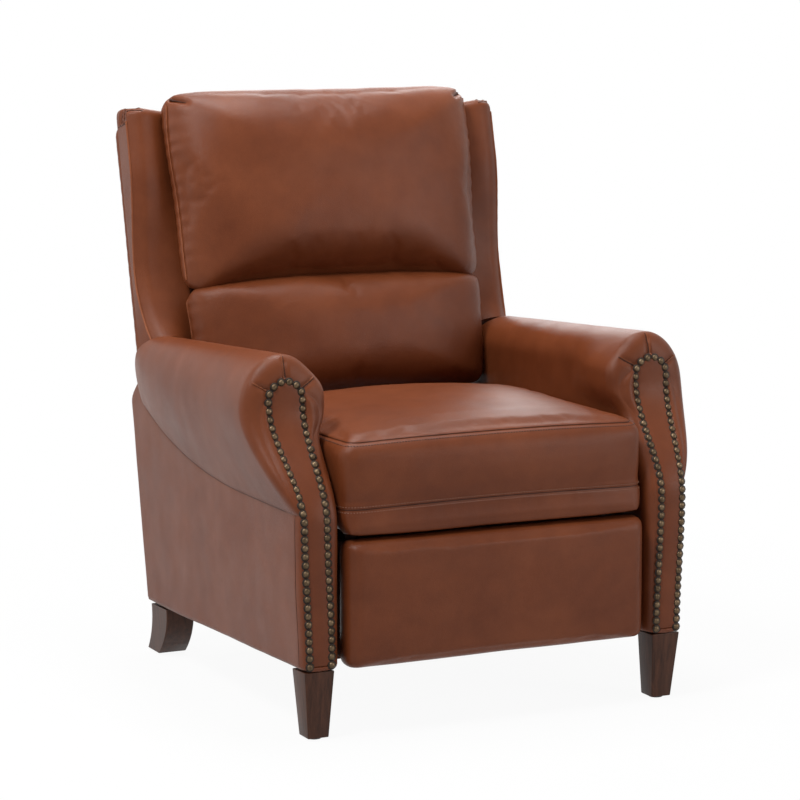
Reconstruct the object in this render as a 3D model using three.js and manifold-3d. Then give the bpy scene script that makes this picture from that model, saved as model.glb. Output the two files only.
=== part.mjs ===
// Wingback push-back recliner with rolled arms, a two-cushion back and a fold-out footrest.
// Millimetres. +X is to the viewer's right, +Y runs to the rear, +Z is up; the sitter faces -Y.
// Left is the -X side. The front of the arms stands at y = 0 until the last lines centre the chair.
import * as THREE from 'three';
import { mergeVertices } from 'three/addons/utils/BufferGeometryUtils.js';
import Module from 'manifold-3d';

// Fits and gaps
const touchGap = 0.3;
const pivotPlay = 0.4;
const openPivotPlay = 1;
const cutOverrun = 5;
const sideGap = 9;

// Seat cushion
const cushionHalfWidth = 283;
const cushionFront = 8;
const cushionRear = 572;
const cushionBottom = 337.8;
const cushionEdgeTop = 504;
const cushionCrown = 36;
const cushionRearDrop = 26;
const cushionRadius = 26;
const cushionFrontSwell = 10;
const cushionDrawIn = 5;
const cushionTuck = 26;

// Arms: a scroll front that is set back at the top, a rolled top and a flat outer side
const armInner = cushionHalfWidth + sideGap;
const armRollRadius = 60;
const armRollOverhang = 50;
const armSideThickness = 72;
const armSideSwell = 6;
const armSideHalfWidth = armInner + armSideThickness;
const armFloorFront = 120;
const armFloorRear = 96;
const armDepthAtFloor = 725;
const armTopFront = 645;
const armTopRear = 614;
const armSetBack = 98;
const armSetBackLow = 366;
const armSetBackHigh = 556;
const armRearLean = 0.205;
const armEdgeDepth = 26;
const armEdgeOuterLow = 8;
const armEdgeOuterHigh = 27;
const armEdgeInner = 18;
const armRearEdge = 9;
const armSeamLow = 383;
const armSeamHigh = 592;
const armSeamFlat = 250;
const armSeamReach = 430;
const armSeamCrease = 3;
const armRollSwellPower = 1.6;
const armRollWidestShare = 0.62;
const armRollRearShare = 0.6;
const armSideSwellShare = 0.6;
const armLowShares = [0, 0.3, 0.6, 0.85, 1];
const armRollShares = [0.08, 0.2, 0.34, 0.5, 0.66, 0.82, 1];
const armTopDegrees = [22, 42, 60, 75, 86];
const armEdgeDegrees = [0, 30, 60];
const armAlongShares = [0, 0.12, 0.26, 0.4, 0.54, 0.66, 0.76, 0.85, 0.93];
const armSlimShare = 0.2;

// Scroll front panel and the nail strip round it, as half widths about a leaning centre line
const scrollBottom = 130;
const scrollTop = 596;
const scrollInsetLow = 20;
const scrollInsetHigh = 28;
const scrollOuterInset = 12;
const scrollOuterInsetMid = 4;
const scrollOverhangHigh = 18;
const scrollInnerLow = armInner + scrollInsetLow;
const scrollInnerHigh = armInner + scrollInsetHigh;
const scrollOuterLow = armSideHalfWidth - scrollOuterInset;
const scrollOuterMid = armSideHalfWidth - scrollOuterInsetMid;
const scrollOuterHigh = armSideHalfWidth + scrollOverhangHigh;
const scrollPanelThickness = 3;
const nailStripWidth = 9;
const nailStripThickness = 3.5;
const scrollTopDegrees = [20, 40, 58, 74, 85];

// Plywood panel inside each arm
const armPanelThickness = 18;
const armPanelInset = 24;
const armPanelInner = armInner + armPanelInset;
const armPanelMargin = 34;

// Slanted joint between the arms and the back, and the lean of the back
const backRefY = 735;
const backRefZ = 539;
const backLean = THREE.MathUtils.degToRad(13.44);
const slitSlope = 0.904;
const slitClearance = 6;

// Legs and glides
const frontLegTopWidth = 54;
const frontLegBottomWidth = 38;
const frontLegInsetTop = 4;
const frontLegInsetBottom = 14;
const frontLegOuterTop = armSideHalfWidth - frontLegInsetTop;
const frontLegOuterBottom = armSideHalfWidth - frontLegInsetBottom;
const frontLegBottomFront = 11;
const rearLegWidth = 54;
const rearLegInsetTop = 5;
const rearLegInsetBottom = 12;
const rearLegTopReach = 85;
const rearLegTopInset = 6;
const rearLegBottomReach = 25;
const rearLegKick = 33;
const rearLegOuterTop = armSideHalfWidth - rearLegInsetTop;
const rearLegOuterBottom = armSideHalfWidth - rearLegInsetBottom;
const rearLegTopFront = armDepthAtFloor - rearLegTopReach;
const rearLegTopRear = armDepthAtFloor - rearLegTopInset;
const rearLegBottomFront = armDepthAtFloor - rearLegBottomReach;
const rearLegBottomRear = armDepthAtFloor + rearLegKick;
const rearLegSteps = 7;
const glideRadius = 12;
const glideHeight = 3;
const glideSides = 20;

// Base rails between the arms
const frontRailFront = 66;
const frontRailRear = 126;
const frontRailTop = 149;
const rearRailInset = 41;
const rearRailThickness = 20;
const rearRailRear = armDepthAtFloor - rearRailInset;
const rearRailFront = rearRailRear - rearRailThickness;
const rearRailTop = 232;
const railRise = 3;

// Push-back mechanism: steel plates in layers, listed from the arm inwards as outer faces
const basePlateOuter = armInner - touchGap;
const swingLayerOuter = 284;
const seatPlateOuter = 276.5;
const innerLinkOuter = 269;
const outerLinkOuter = 261.5;
const plateThickness = 4;
const linkThickness = 4;
const pinRadius = 4.5;
const pinHeadRadius = 7.5;
const pinHeadThickness = 1.4;
const linkHalfWidth = 8;
const plateMargin = 16;
const pinSides = 12;
const endSteps = 6;

// Pivots of the back and the seat, seen from the side
const backPivotY = 705;
const backPivotZ = 455;
const seatPivotBack = 24;
const seatPivotDrop = 120;
const swingPivotY = 455;
const swingPivotZ = 319;

// Footrest linkage, seen from the side
const mainLinkPivotY = 203;
const mainLinkPivotZ = 319;
const mainLinkLength = 126;
const mainLinkAngle = THREE.MathUtils.degToRad(-45);
const boardPivotY = 78;
const boardPivotZ = 312;
const boardPivotStepY = 22;
const boardPivotStepZ = 40;
const rearLinkOffset = 60;
const crossTubeRadius = 8;
const crossTubeShare = 0.55;

// Footrest
const footrestHalfWidth = 283;
const footrestFront = -3;
const footrestPadThickness = 47;
const footrestTop = 335;
const footrestBottom = 124;
const footrestPadRadius = 16;
const footrestPadCrown = 4;
const footrestBoardThickness = 14;
const footrestBoardInset = 6;
const bracketFlangeWidth = 29;
const bracketFlangeThickness = 3;
const bracketMargin = 12;

// Seat frame under the cushion
const seatRailOuter = 250;
const seatRailWidth = 24;
const seatRailHeight = 24;
const seatRailFront = 84;
const seatRailRear = 615;
const seatRailTop = 333.4;
const seatFlangeThickness = 3.5;
const seatFlangeFront = 130;
const seatFlangeRear = 560;
const seatPlateFront = 112;
const seatPlateDepth = 31;
const seatPlateDip = 21;
const seatPlateFlareShare = 1.4;

// Sinuous springs
const springHalfSpread = 190;
const seatSpringCount = 5;
const backSpringCount = 5;
const springWireWidth = 4;
const springWireThickness = 3.4;
const springWaveHalfWidth = 17;
const seatSpringWaves = 9;
const backSpringWaves = 9;
const springBarWidth = 9;

// Back, in a frame that leans with it: along is up the back, depth is forward of its rear face
const backHalfWidth = 377;
const backNarrowHalfWidth = 268;
const outsideThickness = 21;
const outsideTop = 468;
const outsideBottom = -305;
const outsideWideBottom = 15;
const outsideEdge = 5;
const outsideCorner = 26;
const postOuter = 279.7;
const postWidth = 40;
const postDepth = 40;
const postTop = 450;
const postBottom = -170;
const topRailHeight = 48;
const bottomRailHeight = 50;
const wingInner = 280;
const wingTop = 478;
const wingFrontLow = 78;
const wingFootTuck = 12;
const wingFrontHigh = 82;
const wingWaist = 51;
const wingWaistShare = 0.3;
const wingTopRound = 26;
const wingInnerDepth = 56;
const wingSwell = 6;
const wingSteps = 16;
const wingRoundStartShare = 0.9;
const wingShoulderShare = 0.75;
const wingFaceShares = [0.4, 0.62, 0.84];
const wingFaceSwellShares = [0.6, 1, 1];

// Back pillows
const pillowBackDepth = 66;
const upperPillowHalfWidthTop = 313;
const upperPillowHalfWidthBottom = 298;
const upperPillowBottom = 147;
const upperPillowTop = 494;
const upperPillowThickness = 88;
const upperPillowCrown = 30;
const upperPillowRadius = 27;
const lowerPillowHalfWidth = 288;
const lowerPillowBottom = -68;
const lowerPillowTop = 145;
const lowerPillowThickness = 74;
const lowerPillowCrown = 26;
const lowerPillowRadius = 27;
const pillowDrawIn = 7;

// Grids of the soft pieces across, deep and high; each rounded edge takes two steps
const wholeShares = [2, 2, 2];
const softEdgeSteps = 2;
const cushionSteps = [14, 12, 8];
const pillowSteps = [14, 6, 10];
const footrestPadSteps = [12, 6, 8];

// Materials
const leather = { color: 0x7d4428, roughness: 0.45, metalness: 0 };
const darkWood = { color: 0x3a2a21, roughness: 0.4, metalness: 0 };
const paleWood = { color: 0xc9a878, roughness: 0.7, metalness: 0 };
const blackSteel = { color: 0x2b2c2e, roughness: 0.45, metalness: 1 };
const springSteel = { color: 0x8c8e90, roughness: 0.35, metalness: 1 };
const agedBrass = { color: 0x8a6a44, roughness: 0.4, metalness: 1 };
const glidePlastic = { color: 0x1c1b1a, roughness: 0.6, metalness: 0 };

const { lerp, smoothstep, clamp } = THREE.MathUtils;
const wasm = await Module();
wasm.setup();

// Solid helpers

function signedVolume(points, triangles) {
  let sum = 0;
  for (const [a, b, c] of triangles) {
    const [p, q, r] = [points[a], points[b], points[c]];
    sum += p[0] * (q[1] * r[2] - q[2] * r[1]);
    sum += p[1] * (q[2] * r[0] - q[0] * r[2]);
    sum += p[2] * (q[0] * r[1] - q[1] * r[0]);
  }
  return sum;
}

function closedMesh(points, triangles) {
  const outward = signedVolume(points, triangles) > 0;
  const geometry = new THREE.BufferGeometry();
  geometry.setAttribute('position', new THREE.Float32BufferAttribute(points.flat(), 3));
  geometry.setIndex(triangles.map(([a, b, c]) => (outward ? [a, b, c] : [a, c, b])).flat());
  return geometry;
}

// Joins rings of equal length into one closed body. A ring runs up one side and down the other,
// so its end cap is a ladder of quads between point i and point n - 1 - i.
function loft(rings) {
  const n = rings[0].length;
  const points = rings.flat();
  const triangles = [];
  for (let r = 0; r < rings.length - 1; r += 1) {
    for (let i = 0; i < n; i += 1) {
      const j = (i + 1) % n;
      const [a, b, c, d] = [r * n + i, r * n + j, (r + 1) * n + j, (r + 1) * n + i];
      triangles.push([a, b, c], [a, c, d]);
    }
  }
  const last = (rings.length - 1) * n;
  for (let i = 0; i < n / 2 - 1; i += 1) {
    const [a, b, c, d] = [i, i + 1, n - 2 - i, n - 1 - i];
    triangles.push([a, c, b], [a, d, c]);
    triangles.push([last + a, last + b, last + c], [last + a, last + c, last + d]);
  }
  return closedMesh(points, triangles);
}

function merged(geometry) {
  const bare = geometry.clone();
  bare.deleteAttribute('normal');
  bare.deleteAttribute('uv');
  return mergeVertices(bare);
}

function toManifold(geometry) {
  const bare = merged(geometry);
  const vertProperties = new Float32Array(bare.attributes.position.array);
  const triVerts = new Uint32Array(bare.index.array);
  return new wasm.Manifold(new wasm.Mesh({ numProp: 3, vertProperties, triVerts }));
}

function fromManifold(solid) {
  const mesh = solid.getMesh();
  const geometry = new THREE.BufferGeometry();
  geometry.setAttribute('position', new THREE.BufferAttribute(mesh.vertProperties, 3));
  geometry.setIndex(new THREE.BufferAttribute(mesh.triVerts, 1));
  return geometry;
}

function join(...geometries) {
  const solids = geometries.map(toManifold);
  return fromManifold(solids.reduce((whole, next) => whole.add(next)));
}

function cut(geometry, ...tools) {
  const solids = tools.map(toManifold);
  return fromManifold(solids.reduce((whole, tool) => whole.subtract(tool), toManifold(geometry)));
}

function box(x0, x1, y0, y1, z0, z1) {
  const geometry = new THREE.BoxGeometry(x1 - x0, y1 - y0, z1 - z0);
  return geometry.translate((x0 + x1) / 2, (y0 + y1) / 2, (z0 + z1) / 2);
}

// A rounded block on a fine grid, then bent by a function of its shares u, v, w from -1 to 1.
function softBlock(half, radius, steps, bend) {
  const geometry = merged(new THREE.BoxGeometry(...wholeShares, ...steps));
  const position = geometry.attributes.position;
  for (let i = 0; i < position.count; i += 1) {
    const share = [position.getX(i), position.getY(i), position.getZ(i)];
    const place = share.map((s, axis) => {
      const rim = 1 - (2 * softEdgeSteps) / steps[axis];
      const reach = Math.abs(s);
      const flat = half[axis] - radius;
      const far = reach <= rim ? (reach / rim) * flat : lerp(flat, half[axis], (reach - rim) / (1 - rim));
      return Math.sign(s) * far;
    });
    const core = place.map((p, axis) => clamp(p, radius - half[axis], half[axis] - radius));
    const out = new THREE.Vector3(...place.map((p, axis) => p - core[axis]));
    out.setLength(radius);
    const rounded = core.map((c, axis) => c + out.getComponent(axis));
    const shares = rounded.map((p, axis) => p / half[axis]);
    position.setXYZ(i, ...bend(rounded, shares));
  }
  return geometry;
}

// Plate helpers: outlines are drawn from the side as (y, z) and thickened along x

const sideBasis = new THREE.Matrix4().makeBasis(
  new THREE.Vector3(0, 1, 0),
  new THREE.Vector3(0, 0, 1),
  new THREE.Vector3(1, 0, 0),
);

function sidePlate(outline, xOuter, thickness, holes = []) {
  const shape = new THREE.Shape(outline.map(([y, z]) => new THREE.Vector2(y, z)));
  for (const hole of holes) {
    const path = new THREE.Path();
    path.absarc(hole.at[0], hole.at[1], hole.radius, 0, 2 * Math.PI, true);
    shape.holes.push(path);
  }
  const settings = { depth: thickness, bevelEnabled: false, curveSegments: pinSides / 2 };
  const geometry = new THREE.ExtrudeGeometry(shape, settings);
  return geometry.applyMatrix4(sideBasis).translate(xOuter - thickness, 0, 0);
}

// Outline of a bar with round ends through a chain of pivots
function barOutline(from, to, halfWidth) {
  const angle = Math.atan2(to[1] - from[1], to[0] - from[0]);
  const points = [];
  for (const [centre, start] of [[to, angle - Math.PI / 2], [from, angle + Math.PI / 2]]) {
    for (let i = 0; i <= endSteps; i += 1) {
      const a = start + (Math.PI * i) / endSteps;
      points.push([centre[0] + halfWidth * Math.cos(a), centre[1] + halfWidth * Math.sin(a)]);
    }
  }
  return points;
}

function hole(at, play = pivotPlay) {
  return { at, radius: pinRadius + play };
}

// A pin along x from its root plate through the next layer, with a flat head past it
function pin(at, xFrom, xTo) {
  const reach = Math.abs(xTo - xFrom);
  const way = Math.sign(xTo - xFrom);
  const shank = new THREE.CylinderGeometry(pinRadius, pinRadius, reach, pinSides);
  shank.rotateZ(Math.PI / 2).translate((xFrom + xTo) / 2, at[0], at[1]);
  const head = new THREE.CylinderGeometry(pinHeadRadius, pinHeadRadius, pinHeadThickness, pinSides);
  const headX = xTo + (way * pinHeadThickness) / 2;
  head.rotateZ(Math.PI / 2).translate(headX, at[0], at[1]);
  return join(shank, head);
}

function pinInward(at, plateOuter, nextOuter) {
  return pin(at, plateOuter - plateThickness / 2, nextOuter - plateThickness - touchGap);
}

function pinOutward(at, plateOuter, nextOuter) {
  return pin(at, plateOuter - plateThickness / 2, nextOuter + touchGap);
}

// Scene helpers

const chair = new THREE.Group();

function add(parent, name, geometry, look) {
  const mesh = new THREE.Mesh(merged(geometry), new THREE.MeshStandardMaterial(look));
  mesh.name = name;
  parent.add(mesh);
}

function mirrored(geometry) {
  const twin = merged(geometry).scale(-1, 1, 1);
  const index = Array.from(twin.index.array);
  for (let i = 0; i < index.length; i += 3) {
    [index[i], index[i + 1]] = [index[i + 1], index[i]];
  }
  twin.setIndex(index);
  return twin;
}

function addPair(parent, name, geometry, look) {
  add(parent, `${name}_left`, mirrored(geometry), look);
  add(parent, `${name}_right`, geometry, look);
}

// Places that several pieces share

const backPivot = [backPivotY, backPivotZ];
const seatPivot = [backPivotY - seatPivotBack, backPivotZ - seatPivotDrop];
const swingTop = [swingPivotY, swingPivotZ];
const swingFoot = [swingPivotY - seatPivotBack, swingPivotZ - seatPivotDrop];

function mainLinkPoint(length) {
  return [
    mainLinkPivotY + length * Math.cos(mainLinkAngle),
    mainLinkPivotZ + length * Math.sin(mainLinkAngle),
  ];
}

const mainPivot = [mainLinkPivotY, mainLinkPivotZ];
const crossPivot = mainLinkPoint(mainLinkLength);
const boardUpper = [boardPivotY, boardPivotZ];
const boardLower = [boardPivotY + boardPivotStepY, boardPivotZ - boardPivotStepZ];
const mainTip = [crossPivot[0] + boardPivotStepY, crossPivot[1] - boardPivotStepZ];
const longLinkLength = Math.hypot(crossPivot[0] - boardUpper[0], crossPivot[1] - boardUpper[1]);
const rearStep = [
  (rearLinkOffset * (crossPivot[0] - boardUpper[0])) / longLinkLength,
  (rearLinkOffset * (crossPivot[1] - boardUpper[1])) / longLinkLength,
];
const rearTip = [crossPivot[0] + rearStep[0], crossPivot[1] + rearStep[1]];
const rearPivot = [mainPivot[0] + rearStep[0], mainPivot[1] + rearStep[1]];

function armFloor(y) {
  return lerp(armFloorFront, armFloorRear, y / armDepthAtFloor);
}

function armFront(z) {
  return armSetBack * smoothstep(z, armSetBackLow, armSetBackHigh);
}

const armRearCornerZ = (() => {
  const slitAtFloor = backRefY + (backRefZ - armFloorRear) / slitSlope;
  return armFloorRear + (slitAtFloor - armDepthAtFloor) / (armRearLean + 1 / slitSlope);
})();

function armRear(z) {
  const slit = backRefY + (backRefZ - z) / slitSlope;
  const edge = armDepthAtFloor + (z - armFloorRear) * armRearLean;
  return z > armRearCornerZ ? slit : edge;
}

// Arms

function armSeam(y) {
  const reach = clamp((y - armSeamFlat) / armSeamReach, 0, 1);
  return lerp(armSeamHigh, armSeamLow, Math.sqrt(1 - reach * reach));
}

// Rows of one arm section: each has a height and the inner and outer x at that height
function armRows(along, edge) {
  const y = lerp(armFront(armTopFront), armRear(armTopRear), along);
  const floor = armFloor(lerp(0, armDepthAtFloor, along));
  const seam = armSeam(y);
  const top = lerp(armTopFront, armTopRear, along);
  const widest = lerp(seam, top, armRollWidestShare);
  const overhang = armRollOverhang * lerp(1, armRollRearShare, along * along);
  const rollX = armInner + armRollRadius;
  const seamX = armSideHalfWidth + armSideSwell;
  const rows = [];
  const innerAt = (z) => {
    const rise = clamp((z - top + armRollRadius) / armRollRadius, 0, 1);
    return rollX - armRollRadius * Math.sqrt(1 - rise * rise);
  };
  for (const share of armLowShares) {
    const z = lerp(floor, seam, share);
    rows.push([z, innerAt(z), armSideHalfWidth + armSideSwell * smoothstep(share, 0, armSideSwellShare)]);
  }
  for (const share of armRollShares) {
    const z = lerp(seam + armSeamCrease, widest, share);
    const swell = 1 - (1 - share) ** armRollSwellPower;
    rows.push([z, innerAt(z), seamX + overhang * swell]);
  }
  for (const degrees of armTopDegrees) {
    const turn = THREE.MathUtils.degToRad(degrees);
    const z = lerp(widest, top, Math.sin(turn));
    const halfOuter = seamX + overhang - rollX;
    rows.push([z, innerAt(z), rollX + halfOuter * Math.cos(turn)]);
  }
  return rows.map(([z, inner, outer]) => {
    const high = smoothstep(z, armSetBackLow, armSetBackHigh);
    const outerEdge = edge * lerp(armEdgeOuterLow, armEdgeOuterHigh, high);
    const lowered = z - edge * armEdgeOuterHigh * smoothstep(z, widest - armRollRadius, top);
    const slim = (outer - inner) / 2 - armEdgeInner * armSlimShare;
    const insetIn = Math.min(edge * armEdgeInner, slim);
    const insetOut = Math.min(outerEdge, slim);
    return [lowered, inner + insetIn, outer - insetOut];
  });
}

function armRing(along, edge, placeY) {
  const rows = armRows(along, edge);
  const inner = rows.map(([z, x]) => [x, placeY(z), z]);
  const outer = rows.map(([z, , x]) => [x, placeY(z), z]).reverse();
  return [...inner, ...outer];
}

function armUpholstery() {
  const rings = [];
  for (const degrees of armEdgeDegrees) {
    const turn = THREE.MathUtils.degToRad(degrees);
    const depth = armEdgeDepth * (1 - Math.cos(turn));
    rings.push(armRing(0, 1 - Math.sin(turn), (z) => armFront(z) + depth));
  }
  for (const along of armAlongShares) {
    rings.push(armRing(along, 0, (z) => lerp(armFront(z) + armEdgeDepth, armRear(z), along)));
  }
  rings.push(armRing(1, 0, (z) => armRear(z) - armRearEdge));
  rings.push(armRing(1, armRearEdge / armEdgeDepth, armRear));
  return loft(rings);
}

// The scroll front is a chain of flat strips between the rows of its first ring
function frontKnots() {
  return armRows(0, 1).map(([height]) => height);
}

function frontFace(z) {
  const knots = frontKnots();
  const above = clamp(knots.findIndex((height) => height >= z), 1, knots.length - 1);
  const [low, high] = [knots[above - 1], knots[above]];
  return lerp(armFront(low), armFront(high), (z - low) / (high - low));
}

// Plywood panel: follows the arm's side outline with a margin all round
function armPanelOutline(grow) {
  const margin = armPanelMargin - grow;
  const rear = armDepthAtFloor - margin;
  const highFront = armSetBack + margin;
  const top = armTopRear - margin;
  const corner = armRearCornerZ - margin;
  const lower = cutOverrun * Math.sign(grow);
  return [
    [margin, armFloor(margin) - lower],
    [rear, armFloor(rear) - lower],
    [armRear(corner) - margin, corner],
    [armRear(top) - margin, top],
    [highFront, top],
    [highFront, armSetBackHigh],
    [margin, armSetBackLow],
  ];
}

function armPanel() {
  const outer = armPanelInner + armPanelThickness;
  return sidePlate(armPanelOutline(0), outer, armPanelThickness);
}

function armPocket() {
  const thickness = armPanelThickness + 2 * touchGap;
  return sidePlate(armPanelOutline(touchGap), armPanelInner + thickness - touchGap, thickness);
}

// Scroll front: the face inside the nail strip, narrow below and round at the top
function scrollHalf(z) {
  const low = smoothstep(z, scrollBottom, armSetBackLow);
  const high = smoothstep(z, armSetBackLow, armSetBackHigh);
  const outer = lerp(lerp(scrollOuterLow, scrollOuterMid, low), scrollOuterHigh, high);
  const inner = lerp(scrollInnerLow, scrollInnerHigh, Math.max(low, high));
  return [(inner + outer) / 2, (outer - inner) / 2];
}

function scrollRow(z, grow) {
  const roundRadius = (scrollOuterHigh - scrollInnerHigh) / 2;
  const roundCentre = scrollTop - roundRadius;
  const [centre, half] = scrollHalf(Math.min(z, roundCentre));
  const radius = roundRadius + grow;
  const rise = clamp((z - roundCentre) / radius, 0, 1);
  const reach = z > roundCentre ? radius * Math.sqrt(1 - rise * rise) : half + grow;
  return [centre - reach, centre + reach];
}

function scrollHeights(grow) {
  const roundRadius = (scrollOuterHigh - scrollInnerHigh) / 2;
  const straightTop = scrollTop - roundRadius;
  const knots = frontKnots().filter((z) => z > scrollBottom && z < straightTop);
  const turns = scrollTopDegrees.map(THREE.MathUtils.degToRad);
  const round = turns.map((turn) => straightTop + (roundRadius + grow) * Math.sin(turn));
  return [scrollBottom, ...knots, straightTop, ...round];
}

// A skin that lies on the arm's front face, inside the scroll's outline by the given amount
function scrollSkin(grow, thickness) {
  const rows = scrollHeights(grow).map((z) => [z, ...scrollRow(z, grow)]);
  const ringAt = (offset) => {
    const inner = rows.map(([z, x]) => [x, frontFace(z) - offset, z]);
    const outer = rows.map(([z, , x]) => [x, frontFace(z) - offset, z]).reverse();
    return [...inner, ...outer];
  };
  return loft([ringAt(touchGap), ringAt(touchGap + thickness)]);
}

function scrollPanel() {
  return scrollSkin(-nailStripWidth / 2 - touchGap, scrollPanelThickness);
}

// The strip is built as one closed band: inner and outer edge of the scroll, back and front
function nailStrip() {
  const half = nailStripWidth / 2;
  const heights = scrollHeights(0);
  const path = [];
  heights.forEach((z) => path.push([scrollRow(z, 0)[0], z]));
  [...heights].reverse().forEach((z) => path.push([scrollRow(z, 0)[1], z]));
  const edges = path.map(([x, z], i) => {
    const before = path[Math.max(i - 1, 0)];
    const after = path[Math.min(i + 1, path.length - 1)];
    const away = new THREE.Vector2(before[1] - after[1], after[0] - before[0]).setLength(half);
    return [[x + away.x, z + away.y], [x - away.x, z - away.y]];
  });
  const point = (x, z, height) => [x, frontFace(z) - touchGap - height, z];
  const rim = nailStripThickness / 2;
  const rings = edges.map(([[ax, az], [bx, bz]]) => [
    point(ax, az, 0),
    point(ax, az, rim),
    point((ax + bx) / 2, (az + bz) / 2, nailStripThickness),
    point(bx, bz, rim),
    point(bx, bz, 0),
    point((ax + bx) / 2, (az + bz) / 2, 0),
  ]);
  return loft(rings);
}

function addArms() {
  addPair(chair, 'arm_upholstery', cut(armUpholstery(), armPocket()), leather);
  addPair(chair, 'arm_panel', armPanel(), paleWood);
  addPair(chair, 'arm_scroll_front', scrollPanel(), leather);
  addPair(chair, 'nail_strip', nailStrip(), agedBrass);
}

// Legs, glides and base rails

function frontLeg() {
  const bottomRear = frontLegBottomFront + frontLegBottomWidth;
  const ring = (outer, side, front, rear, height) => [
    [outer - side, front, height(front)],
    [outer - side, rear, height(rear)],
    [outer, rear, height(rear)],
    [outer, front, height(front)],
  ];
  const foot = () => glideHeight + touchGap;
  const head = (y) => armFloor(y) - touchGap;
  return loft([
    ring(frontLegOuterBottom, frontLegBottomWidth, frontLegBottomFront, bottomRear, foot),
    ring(frontLegOuterTop, frontLegTopWidth, 0, frontLegTopWidth, head),
  ]);
}

function rearLeg() {
  const rings = [];
  for (let i = 0; i <= rearLegSteps; i += 1) {
    const rise = i / rearLegSteps;
    const sweep = (1 - rise) ** 2;
    const front = lerp(rearLegTopFront, rearLegBottomFront, sweep);
    const rear = lerp(rearLegTopRear, rearLegBottomRear, sweep);
    const outer = lerp(rearLegOuterBottom, rearLegOuterTop, rise);
    const height = (y) => lerp(glideHeight + touchGap, armFloor(y) - touchGap, rise);
    rings.push([
      [outer - rearLegWidth, front, height(front)],
      [outer - rearLegWidth, rear, height(rear)],
      [outer, rear, height(rear)],
      [outer, front, height(front)],
    ]);
  }
  return loft(rings);
}

function glide(x, y) {
  const disc = new THREE.CylinderGeometry(glideRadius, glideRadius, glideHeight, glideSides);
  return disc.rotateX(Math.PI / 2).translate(x, y, glideHeight / 2);
}

function addBase() {
  addPair(chair, 'front_leg', frontLeg(), darkWood);
  addPair(chair, 'rear_leg', rearLeg(), darkWood);
  const frontX = frontLegOuterBottom - frontLegBottomWidth / 2;
  const frontY = frontLegBottomFront + frontLegBottomWidth / 2;
  const rearX = rearLegOuterBottom - rearLegWidth / 2;
  const rearY = (rearLegBottomFront + rearLegBottomRear) / 2;
  addPair(chair, 'front_glide', glide(frontX, frontY), glidePlastic);
  addPair(chair, 'rear_glide', glide(rearX, rearY), glidePlastic);
  const reach = armInner - touchGap;
  const frontFloor = armFloor(frontRailFront) + railRise;
  const rearFloor = armFloor(rearRailFront) + railRise;
  const front = box(-reach, reach, frontRailFront, frontRailRear, frontFloor, frontRailTop);
  const rear = box(-reach, reach, rearRailFront, rearRailRear, rearFloor, rearRailTop);
  add(chair, 'base_front_rail', front, paleWood);
  add(chair, 'base_rear_panel', rear, leather);
}

// Push-back mechanism

function basePlate() {
  const low = swingTop[1] - plateMargin;
  const high = swingTop[1] + plateMargin - touchGap;
  const outline = [
    [swingTop[0] - 2 * plateMargin, low],
    [seatPivot[0], low],
    [backPivot[0] + plateMargin, backPivot[1] - 3 * plateMargin],
    [backPivot[0] + plateMargin, backPivot[1] + plateMargin],
    [backPivot[0] - plateMargin, backPivot[1] + plateMargin],
    [backPivot[0] - 5 * plateMargin, high],
    [swingTop[0] - 2 * plateMargin, high],
  ];
  const plate = sidePlate(outline, basePlateOuter, plateThickness);
  const backPin = pinInward(backPivot, basePlateOuter, swingLayerOuter);
  const swingPin = pinInward(swingTop, basePlateOuter, swingLayerOuter);
  return join(plate, backPin, swingPin);
}

function hingePlate() {
  const outline = [
    [seatPivot[0] - plateMargin, seatPivot[1] - plateMargin],
    [seatPivot[0] + plateMargin, seatPivot[1] - plateMargin],
    [backPivot[0] + plateMargin, backPivot[1] - plateMargin],
    [backPivot[0] + plateMargin, backPivot[1] + plateMargin],
    [backPivot[0] - 3 * plateMargin, backPivot[1] + plateMargin],
    [backPivot[0] - 3 * plateMargin, seatPivot[1] + 3 * plateMargin],
  ];
  const plate = sidePlate(outline, swingLayerOuter, plateThickness, [hole(backPivot)]);
  return join(plate, pinInward(seatPivot, swingLayerOuter, seatPlateOuter));
}

function frontSwingLink() {
  const outline = barOutline(swingTop, swingFoot, linkHalfWidth);
  const plate = sidePlate(outline, swingLayerOuter, plateThickness, [hole(swingTop)]);
  return join(plate, pinInward(swingFoot, swingLayerOuter, seatPlateOuter));
}

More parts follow.
